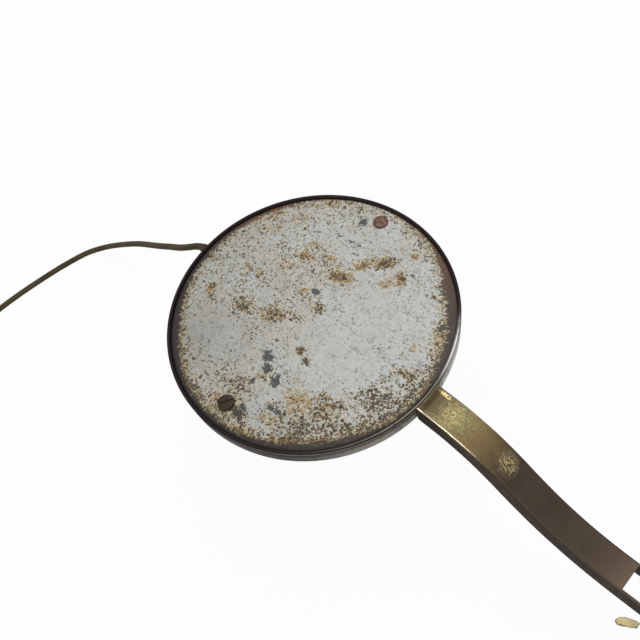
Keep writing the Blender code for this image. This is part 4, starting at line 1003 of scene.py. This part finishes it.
def plate_wear(x, y):
    """Every wear field, with the painted shade and the painted shadow at the lip, at points of the plate, in
    millimetres from its middle.
    """
    radius, angle = np.hypot(x, y), np.arctan2(y, x)
    from_rim = 78.2 - radius
    width = 1.3 + sum(extra * near_direction(angle, direction, spread) for direction, spread, extra in MARGIN)
    bare = np.clip((width - from_rim) / 6, -1.5, 1.5)
    rim_band = step_up(-from_rim, -15, -2)
    worn_side = 0.42 + 0.5 * near_direction(angle, -32, 42) + 0.25 * near_direction(angle, 25, 30)
    worn_side += 0.35 * near_direction(angle, -120, 45)
    clean = wear_field(x, y, SPOTS["clean"])
    pitting = np.maximum(wear_field(x, y, SPOTS["pitting"]), rim_band * worn_side)
    pitting = np.maximum(pitting, 0.12 + 0.14 * step_up(-x, -10, 30)) - 0.30 * clean * (pitting < 0.5)
    ochre = np.maximum(wear_field(x, y, SPOTS["ochre"]), rim_band * 0.20)
    ochre = ochre + 0.10 - 0.25 * clean
    grey = wear_field(x, y, SPOTS["grey"])
    for (x1, y1), (x2, y2), count, amount in SCRATCHES:
        for k in range(count):
            t = k / (count - 1)
            wobble = 0.7 * sin(2.4 * k)
            spot = (x1 + (x2 - x1) * t + wobble, y1 + (y2 - y1) * t - wobble, 1.3, 0.8, 30, amount)
            grey = np.maximum(grey, wear_field(x, y, [spot]))
    red = near_direction(angle, 152, 22) + near_direction(angle, 72, 22)
    red = red + 0.5 * near_direction(angle, -75, 30)
    soot = near_direction(angle, -75, 60) + 0.8 * near_direction(angle, -150, 45)
    # painted shadow with some dirt in the corner at the lip, mostly on the side at -80 degrees
    lip_shadow_and_dirt = step_up(radius, 76.4, 77.4) * np.clip(1.4 * near_direction(angle, -80, 85), 0, 1)
    return {"pitting": pitting, "ochre": ochre, "bare": bare, "grey": grey, "red": np.clip(red, 0, 1),
            "soot": np.clip(soot, 0, 1), "lip_shadow_and_dirt": lip_shadow_and_dirt, "dim": wear_field(x, y, SPOTS["dim"])}


def make_plate(looks):
    """The painted plate: a fine grid with shallow waves, a rounded edge, and wear, painted shade and painted
    shadow stored at its points.
    """
    radii = list(np.linspace(0, 76.8, 84)) + [77.3, 77.7, 78.0, 78.15]
    steps = 224
    bm = bmesh.new()
    rings = [[bm.verts.new((0, 0, -2.0 * MM))]]
    for radius in radii[1:]:
        rings.append([])
        for i in range(steps):
            angle = 2 * pi * i / steps
            x, y = radius * cos(angle), radius * sin(angle)
            wave = 0.10 * sin(x / 17 + 1) * sin(y / 21 + 2) + 0.05 * sin(x / 6.1 + y / 8.3)
            drop = 0.35 * max(0.0, (radius - 77.1) / 1.05) ** 2
            rings[-1].append(bm.verts.new((x * MM, y * MM, (-2.0 + min(0.0, wave) - drop) * MM)))
    rings.append([bm.verts.new((78.15 * MM * cos(2 * pi * i / steps),
                                78.15 * MM * sin(2 * pi * i / steps), -3 * MM)) for i in range(steps)])
    rings.append([bm.verts.new((0, 0, -3 * MM))])
    faces_between(bm, rings)
    plate = piece("painted_plate", moved(bm, HEAD), looks["plate"], "head",
                  ("back_plate",), 50)
    points = np.array([v.co for v in plate.data.vertices], float)
    fields = plate_wear((points[:, 0] - HEAD.x) / MM, points[:, 1] / MM)
    for name, values in fields.items():
        store(plate, name, values)
    return plate


def slotted_screw(name, look, head, height, radius, slot_turn, body, replaces, place, domed=0.5,
                  slot=(1.1, 0.8)):
    """Screw head with a rounded crown and a cut slot, its shank below. Place is the head's underside."""
    profile = [(0, -head), (1.6, -head), (1.6, 0), (radius, 0), (radius, height * 0.28)]
    for k in range(1, 7):
        t = k / 6
        profile.append((radius * cos(t * pi / 2) ** domed if t < 1 else 0,
                        height * (0.28 + 0.72 * sin(t * pi / 2))))
    screw = raw_object(name, moved(lathe(profile, 56, 0.15), place))
    width, depth = slot
    carve(screw, moved(block((3 * radius, width, 4), (0, 0, height - depth + 2), 0), place,
                       Matrix.Rotation(slot_turn, 3, "Z")))
    return dress(screw, look, body, replaces, 34)


def make_plate_screws(looks):
    for node, look, height, radius, turn in (("plate_screw_a", "screw_a", 0.95, 4.3, radians(-20)),
                                             ("plate_screw_b", "screw_b", 1.65, 4.5, radians(60))):
        low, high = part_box(node)
        middle = (low + high) / 2
        place = Vector((middle.x, middle.y, HEAD.z - 1.85 * MM))
        slotted_screw(f"{node}_head", looks[look], 3.6, height, radius, turn, "head", (node,), place,
                      0.42 if node.endswith("a") else 0.55,
                      (0.7, 0.35) if node.endswith("a") else (1.0, 0.75))


def make_front(looks):
    """Glass side of the head, which faces the table at rest."""
    def turned(name, profile, look, nodes, steps=144, soft=0.25):
        return piece(name, at_head(lathe(profile, steps, soft)), looks[look], "head", nodes)

    turned("bezel_ring", [(70.1, -22.6), (70.1, -30.9), (64.5, -30.9), (64.9, -31.7), (66, -32.1),
                          (69.6, -32.1), (70.9, -31.6), (71.6, -30.4), (71.6, -28.2), (71.1, -27.8),
                          (71.1, -27.2), (71.6, -26.8), (71.6, -22.9), (71.2, -22.6)], "case",
           ("front_bezel",), 180, 0.2)
    turned("mirror_frame", [(50.3, -25.1), (50.3, -30.6), (48.7, -30.6), (48.7, -31.2), (49.4, -31.6),
                            (50.6, -31.6), (51.5, -31.0), (51.5, -25.1)], "case",
           ("mirror_rim",), 144, 0.2)
    turned("mirror_disc", [(0, -27.3), (50, -27.3), (50, -29.2), (48.6, -30.3), (0, -30.3)], "glass",
           ("mirror_glass",), 144, 0.12)
    silver = turned("silver_disc", [(0, -26.4), (10, -26.4), (20, -26.4), (30, -26.4), (38, -26.4),
                                    (44, -26.4), (47, -26.4), (50, -26.4), (50, -27), (47, -27),
                                    (44, -27), (38, -27), (30, -27), (20, -27), (10, -27), (0, -27)],
                    "silver", ("mirror_silvering",), 144, 0)
    points = np.array([v.co for v in silver.data.vertices], float)
    radius = np.hypot(points[:, 0] - HEAD.x, points[:, 1]) / MM
    store(silver, "edge", step_up(radius, 34, 50))
    turned("light_ring", [(52, -27.6), (68, -27.6), (68, -30.6), (52, -30.6)], "frosted",
           ("frosted_ring",), 144, 0.3)
    turned("glass_seal", [(62, -26.3), (68, -26.3), (68, -27.3), (62, -27.3)], "rubber",
           ("glass_gasket",))
    turned("reflector_dish", [(6, -11.6), (52, -11.6), (55.4, -12.2), (58.2, -15.6), (60.9, -21.9),
                              (61.8, -23.7), (66, -23.7), (66, -24.5), (61.3, -24.5), (60.1, -22.2),
                              (57.2, -16.0), (54.8, -12.9), (52, -12.4), (6, -12.4)], "pan",
           ("reflector_pan",), 144, 0.3)
    for name, side in (("a", 1), ("b", -1)):
        tube = [(0, -16.2), (2.6, -16.2), (3, -15.7), (3, -12.4), (3.3, -11.6), (3.9, -9.8), (4, -8.4),
                (4, 8.4), (3.9, 9.8), (3.3, 11.6), (3, 12.4), (3, 15.7), (2.6, 16.2), (0, 16.2)]
        lamp = moved(lathe(tube, 48, 0.3), Vector((45, 0, -18.7)) * MM, ALONG_Y)
        piece(f"lamp_bulb_{name}", at_head(lamp, radians(90 * side)), looks["frosted"], "head",
              (f"festoon_lamp_{name}",))
    for index in range(3):
        head = lathe([(0, 0), (1.5, 0), (1.5, 1.1), (1.1, 1.5), (0, 1.6)], 40, 0.15)
        screw = moved(head, Vector((71.3, 0, -24.4)) * MM, ALONG_X)
        screw = raw_object(f"bezel_screw_{index}", at_head(screw, radians(30 + 120 * index)))
        slot = moved(block((1.2, 4.0, 0.5), (73.1, 0, -24.4), 0))
        carve(screw, at_head(slot, radians(30 + 120 * index)))
        dress(screw, looks["screw"], "head")


def make_switch(looks):
    cap = lathe([(0, -11.5), (2.5, -11.5), (2.5, -1.4), (2.3, -0.6), (1.7, -0.12), (0.9, 0.0), (0, 0.0)],
                48, 0.2)
    place = Vector((84, 0, -8.6))
    piece("switch_cap", at_head(moved(cap, place * MM, ALONG_X), SWITCH), looks["bakelite"], "button",
          ("switch_button",))
    collar = moved(lathe([(2.9, 79.2), (4.1, 79.2), (4.1, 80.2), (3.6, 81.0), (2.9, 81.1)], 64, 0.25),
                   (0, 0, -8.6 * MM), ALONG_X)
    piece("switch_collar", at_head(collar, SWITCH), looks["stem"], "head")


# ---------------------------------------------------------------- channel arm

# Middle line of the arm's top face: x from the head's middle and height from its lip, in millimetres.
ARM_ROUTE = [(78, 0), (93, -1.8), (105, -5), (117, -9.6), (129, -16.6), (141, -25.2), (152, -32.2),
             (163, -37.6), (176, -42), (190, -44.4), (203, -45), (214, -45), (224, -45)]
ARM_ROUND = 1.3


def channel_section():
    """Inverted U with rounded corners and rolled lower edges, as (across, depth) in millimetres."""
    half, inner, depth = ARM_WIDTH / 2 / MM, (ARM_WIDTH / 2 - ARM_SHEET) / MM, ARM_DEPTH / MM
    sheet, bend = ARM_SHEET / MM, 1.0
    outer = [(half - 0.5, depth), (half - 0.1, depth - 0.15), (half, depth - 0.5), (half, depth / 2)]
    hollow = [(inner + 0.3, depth), (inner + 0.05, depth - 0.1), (inner, depth - 0.4), (inner, depth / 2)]
    for k in range(8):
        turn = radians(90 * k / 7)
        outer.append((half - ARM_ROUND + ARM_ROUND * cos(turn), ARM_ROUND - ARM_ROUND * sin(turn)))
        hollow.append((inner - bend + bend * cos(turn), sheet + bend - bend * sin(turn)))
    outer += [(4.5, -0.03), (2.2, -0.06)]
    hollow += [(4.0, sheet)]
    return outer + [(0, -0.07)] + [(-y, d) for y, d in outer[::-1]] + [(-y, d) for y, d in hollow] \
        + [(0, sheet)] + hollow[::-1]


def make_arm(looks):
    line = smooth_line([HEAD + Vector((x, 0, z)) * MM for x, z in ARM_ROUTE], 16)
    section = channel_section()
    bm = bmesh.new()
    rings = []
    for i, point in enumerate(line):
        along = (line[min(i + 1, len(line) - 1)] - line[max(i - 1, 0)]).normalized()
        under = Vector((along.z, 0, -along.x))
        out = (point.x - HEAD.x) / MM
        point = point - Vector((0, 0, 0.6 * MM)) * float(step_up(out, 80.6, 83.8) - step_up(out, 84, 104))
        rings.append([bm.verts.new(point + Vector((0, y * MM, 0)) + under * depth * MM)
                      for y, depth in section])
    faces_between(bm, rings)
    bm.faces.new(rings[0][::-1])
    bm.faces.new(rings[-1])
    arm = raw_object("channel_arm", bm)
    carve(arm, moved(lathe([(0, -40), (80.1, -40), (80.1, 8), (0, 8)], 180, 0), HEAD))
    carve(arm, moved(block((46, (ARM_WIDTH - 2 * ARM_SHEET) / MM, 9), (6, 0, 7), 0), TILT))
    carve(arm, moved(rod(2.3, 40, 40, 0), TILT - Vector((0, 20 * MM, 0)), ALONG_Y))
    keep = ([(-260, 120), (0, 120), (0, 6.6)]
            + [(6.6 * sin(radians(a)), 6.6 * cos(radians(a))) for a in range(10, 180, 10)])
    keep += [(0, -6.6), (0, -60), (-260, -60)]
    carve(arm, moved(prism(keep, -20, 20), TILT), "INTERSECT")
    dress(arm, looks["arm"], "head", ("swan_arm",), 32)

    points = np.array([v.co for v in arm.data.vertices], float)
    middle = np.array(line, float)
    nearest = np.argmin(((points[:, None, (0, 2)] - middle[None, :, (0, 2)]) ** 2).sum(2), 1)
    tangent = np.gradient(middle, axis=0)
    tangent /= np.linalg.norm(tangent, axis=1)[:, None]
    offset = points - middle[nearest]
    depth = (offset[:, 0] * tangent[nearest, 2] - offset[:, 2] * tangent[nearest, 0]) / MM
    inset = ARM_WIDTH / 2 / MM - np.abs(points[:, 1]) / MM
    corner = np.exp(-((inset - 0.45) / 0.5) ** 2 - ((depth - 0.45) / 0.55) ** 2)
    # painted highlight: the lower corner (y < 0) gets it in full, the upper one about a third
    corner = corner * np.where(points[:, 1] < 0, 1, 0.35)
    store(arm, "corner", corner)

    seam = []
    for k in range(49):
        y = -8.3 + 16.6 * k / 48
        seam.append(HEAD + Vector(((80.35 ** 2 - y * y) ** 0.5 * MM, y * MM,
                                   (-0.55 - 0.9 * abs(y / 8.3) ** 6) * MM)))
    bead = bmesh.new()
    rings = []
    for i, point in enumerate(seam):
        along = (seam[min(i + 1, 48)] - seam[max(i - 1, 0)]).normalized()
        side = along.cross(Vector((0, 0, 1))).normalized()
        up = side.cross(along)
        rings.append([bead.verts.new(point + (side * cos(a) + up * sin(a)) * 0.55 * MM)
                      for a in (2 * pi * k / 12 for k in range(12))])
    faces_between(bead, rings)
    bead.faces.new(rings[0][::-1])
    bead.faces.new(rings[-1])
    piece("braze_seam", bead, looks["arm_dark"], "head", sharp=60)


# ---------------------------------------------------------------- joints and tube

def wing_nut(name, look, body, node, pivot, start):
    """Wing nut on a bolt along Y: a turned hub and two ears."""
    hub = moved(lathe([(2.3, 0), (5.2, 0), (5.2, 0.9), (4.6, 1.5), (4.1, 6.2), (3.5, 7), (2.3, 7)], 64, 0.25),
                (0, start * MM, 0), ALONG_Y)
    parts = [hub]
    ear = [(2.8, 3.2), (4.6, 3.4), (7.0, 4.2), (9.4, 5.2), (11.3, 6.8), (12.0, 8.6), (11.6, 9.8),
           (10.2, 10.2), (8.2, 9.4), (6.2, 7.9), (4.6, 6.6), (2.8, 6.0)]
    for side in (-1, 1):
        outline = [(side * x, start + y) for x, y in ear]
        parts.append(moved(prism(outline, -1.1, 1.1, 0.45), (0, 0, 0), Matrix.Rotation(radians(90), 3, "X")))
    for part in parts[1:]:
        for vert in part.verts:
            vert.co.z, vert.co.y = -vert.co.z, vert.co.y
    nut = raw_object(name, parts[0])
    for part in parts[1:]:
        bmesh.ops.recalc_face_normals(part, faces=part.faces)
        carve(nut, part, "UNION")
    nut.data.transform(Matrix.Translation(pivot))
    return dress(nut, look, body, (node,), 34)


def make_joints(looks):
    """The two knuckles, each an eye with its neck, then washers, turned bolts and wing nuts."""
    tilt_eye = [(2.35, -4), (5.9, -4), (6.5, -3.4), (6.5, 3.4), (5.9, 4), (2.35, 4)]
    tilt_neck = [(0, 3.8), (3.4, 3.8), (3.4, 7.4), (3.9, 8.4), (3.9, 20), (0, 20)]
    fold_eye = [(2.35, -5), (8.2, -5), (9, -4.2), (9, 4.2), (8.2, 5), (2.35, 5)]
    fold_neck = [(0, 5.4), (4.5, 5.4), (4.5, 10), (6.4, 11.2), (6.4, 13.4), (6.0, 13.8), (6.0, 26), (0, 26)]
    for name, node, pivot, profile, neck, direction, body in (
            ("tilt_knuckle", "tilt_eye", TILT, tilt_eye, tilt_neck, 1, "upper_arm"),
            ("fold_knuckle", "fold_eye", FOLD, fold_eye, fold_neck, -1, "lower_arm")):
        eye = raw_object(name, moved(lathe(profile, 72, 0.25), (0, 0, 0), ALONG_Y))
        carve(eye, moved(lathe(neck, 64, 0.2), (0, 0, 0),
                         Matrix.Rotation(radians(90 * direction), 3, "Y")), "UNION")
        carve(eye, moved(rod(2.35, 40, 48, 0), (0, -20 * MM, 0), ALONG_Y))
        eye.data.transform(Matrix.Translation(pivot))
        dress(eye, looks["stem"], body, (node,), 34)
    for node, body in (("tilt_washer_left", "head"), ("tilt_washer_right", "head"),
                       ("tilt_nut_washer", "head"), ("fold_nut_washer", "base")):
        low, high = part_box(node)
        outer = (high.z - low.z) / 2 / MM
        washer = ring(2.4, outer, -(high.y - low.y) / 2 / MM, (high.y - low.y) / 2 / MM, 64, 0.2)
        stuff = "fibre" if node in ("tilt_washer_left", "tilt_washer_right") else "steel"
        piece(f"{node}_ring", moved(washer, (low + high) / 2, ALONG_Y), looks[stuff], body, (node,))
    for node, body, pivot in (("tilt_bolt", "head", TILT), ("fold_bolt", "base", FOLD)):
        low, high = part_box(node)
        length = (high.y - low.y) / MM
        shape = lathe([(0, 0), (2.6, 0.05), (3.9, 0.5), (4.6, 1.4), (4.6, 2.6), (2.1, 2.6),
                       (2.1, length - 0.5), (1.6, length), (0, length)], 64, 0.2)
        bolt = raw_object(f"{node}_turned", moved(shape, (pivot.x, low.y, pivot.z), ALONG_Y))
        carve(bolt, moved(block((12, 2, 1.0), (0, 0, 0), 0), (pivot.x, low.y - 0.1 * MM, pivot.z),
                          Matrix.Rotation(radians(28), 3, "Y")))
        dress(bolt, looks["steel"], body, (node,), 34)
    wing_nut("tilt_wing_nut_cast", looks["stem"], "tilt_nut", "tilt_wing_nut", TILT, 10.1)
    wing_nut("fold_wing_nut_cast", looks["stem"], "fold_nut", "fold_wing_nut", FOLD, 11.0)


def make_telescope(looks):
    height = TILT.z
    left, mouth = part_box("inner_tube")[0].x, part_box("outer_tube")[0].x
    clamp_x = centre("thumb_screw").x
    piece("inner_tube_drawn", moved(ring(4.3, 5.0, 0, 131, 96, 0.15), (left, 0, height), ALONG_X),
          looks["chrome"], "upper_arm", ("inner_tube",))
    stop = lathe([(0, -9), (4.0, -9), (4.0, 0.3), (6, 0.3), (6, 3), (0, 3)], 64, 0.25)
    piece("tube_end_stop", moved(stop, (left + 131 * MM, 0, height), ALONG_X), looks["hidden"],
          "upper_arm", ("stop_plug",))
    outer = lathe([(6.3, 0), (7, 0), (7, 122.6), (7.0, 123), (7.0, 128), (6.3, 128)], 96, 0.12)
    outer = raw_object("outer_tube_drawn", moved(outer, (mouth, 0, height), ALONG_X))
    collar = lathe([(5.3, -3.4), (9, -3.4), (9.6, -2.8), (9.6, -1.8), (9.1, -1.4), (9.1, -1.0), (10, -0.4),
                    (10, 8.2), (9.2, 8.7), (9.2, 9.3), (9.6, 9.7), (9.6, 10.4), (9, 11), (7.3, 11),
                    (7.3, -0.3), (5.3, -0.3)], 120, 0.18)
    collar = raw_object("clamp_sleeve", moved(collar, (mouth, 0, height), ALONG_X))
    for thing in (outer, collar):
        carve(thing, moved(rod(2.3, 14, 40, 0), (clamp_x, 0, height), ALONG_Y))
    dress(outer, looks["stem"], "lower_arm", ("outer_tube",), 34)
    dress(collar, looks["stem"], "lower_arm", ("clamp_collar",), 34)
    piece("guide_sleeve", moved(ring(5.3, 6.0, 0, 12, 96, 0.1), (mouth + 9 * MM, 0, height), ALONG_X),
          looks["fibre"], "lower_arm", ("guide_bush",))
    knob = lathe([(0, 5.3), (2.1, 5.3), (2.1, 12.6), (3.4, 13.0), (4, 13.6), (4, 14.8), (6.6, 15.2),
                  (7.4, 15.9), (7.4, 20.0), (6.7, 20.8), (5.2, 20.8), (4.6, 20.4), (2.4, 20.4),
                  (1.6, 21.0), (0, 21.2)], 88, 0.2, (15.7, 20.2, 0.45))
    piece("thumb_knob", moved(knob, (clamp_x, 0, height), ALONG_Y), looks["stem"], "clamp_screw",
          ("thumb_screw",), 55)


# ---------------------------------------------------------------- base

def make_base(looks):
    """Weighted brass base with turned beads, on felt."""
    shell = [(3.3, 29.4), (48, 29.4), (68, 29.4), (73.6, 28.2), (80.4, 25.6), (86, 21.8), (88.7, 17.6),
             (90.4, 12.6), (90.4, 2.5), (91.2, 2.5), (91.9, 2.9), (92, 3.6), (92, 5.6), (91.4, 6.2),
             (91.4, 6.9), (92, 7.5), (92, 12.8), (91.6, 15.4), (90.8, 18.2), (89.3, 20.9), (87.4, 23.3),
             (84.6, 25.6), (81.4, 27.5), (77.8, 29.1), (74.0, 30.3), (72.6, 30.5), (72.2, 30.1),
             (71.4, 30.1), (71.0, 30.6), (68.5, 31.0), (30, 31.0), (29.4, 30.75), (28.4, 30.75),
             (27.8, 31.0), (3.3, 31.0)]
    dome = raw_object("base_dome", lathe(shell, 192, 0.12))
    for x in (36.5, 59.5):
        carve(dome, moved(rod(1.9, 12, 40, 0), (x * MM, 0, 24 * MM)))
    dress(dome, looks["base"], "base", ("base_shell",), 28)
    piece("felt_pad", lathe([(0, 0), (90.5, 0), (91.5, 0.6), (91.6, 1.7), (91.2, 2.2), (0, 2.2)], 192, 0.3),
          looks["felt"], "base", ("base_felt",))
    piece("floor_plate", lathe([(0, 2.5), (89.6, 2.5), (89.6, 4), (0, 4)], 128, 0.2), looks["steel"],
          "base", ("bottom_plate",))
    cap = [(0, 10), (3, 10), (3, 31.3), (8.4, 31.3), (8.4, 31.9), (7.6, 32.5), (7.0, 33.0), (5.2, 33.8),
           (2.6, 34.2), (0, 34.2)]
    piece("tie_bolt_cap", lathe(cap, 72, 0.2), looks["steel"], "base", ("tie_bolt",))

    foot = block((30, 32, 3.0), (0, 0, 0), 0.8)
    fork = raw_object("fork_casting", moved(foot, (FOLD.x, 0, 32.8 * MM)))
    for side in (-1, 1):
        outline = [(9 * cos(radians(a)), 9 * sin(radians(a))) for a in range(0, 181, 9)]
        outline += [(-9.4, -9), (-10.6, -13), (10.6, -13), (9.4, -9)]
        low, high = sorted((side * 5.4, side * 9.4))
        carve(fork, moved(prism(outline, low, high, 0.5), FOLD), "UNION")
    carve(fork, moved(rod(2.35, 40, 48, 0), FOLD - Vector((0, 20 * MM, 0)), ALONG_Y))
    for x in (-11.5, 11.5):
        carve(fork, moved(rod(1.9, 20, 40, 0), (FOLD.x + x * MM, 0, 24 * MM)))
    dress(fork, looks["stem"], "base", ("fold_fork",), 34)
    for name, x, turn in (("fork_screw_a", -11.5, 40), ("fork_screw_b", 11.5, 115)):
        slotted_screw(f"{name}_head", looks["screw"], 12, 1.5, 2.9, radians(turn), "base", (name,),
                      Vector((FOLD.x + x * MM, 0, 34.45 * MM)), 0.5, (0.7, 0.6))


# ---------------------------------------------------------------- the rest

CAD_LOOKS = {"plate_seat": "hidden", "arm_root_block": "hidden", "mirror_back": "steel",
             "mirror_bracket": "steel", "lamp_holder_a": "steel", "lamp_holder_b": "steel",
             "terminal_block": "bakelite", "switch_body": "bakelite", "cord_clamp": "steel",
             "cord_inner": "flex", "base_weight": "iron", "arm_screw_a": "screw", "arm_screw_b": "screw"}


def dress_cad(looks):
    for name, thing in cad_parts.items():
        if name in CAD_LOOKS:
            thing.data.materials.clear()
            thing.data.materials.append(looks[CAD_LOOKS[name]])


make_camera()
looks = make_looks()
looks["arm_dark"] = brass_look("seam_brass", (0.20, 0.165, 0.085), (0.13, 0.10, 0.055),
                               (0.05, 0.035, 0.022), 0.7)
cord, line, length = make_cord(looks)
on_cord = make_plug(looks) + [make_tie(looks), make_grommet(looks)]
make_stage()
make_case(looks)
make_plate(looks)
make_plate_screws(looks)
make_front(looks)
make_switch(looks)
make_arm(looks)
make_joints(looks)
make_telescope(looks)
make_base(looks)
dress_cad(looks)
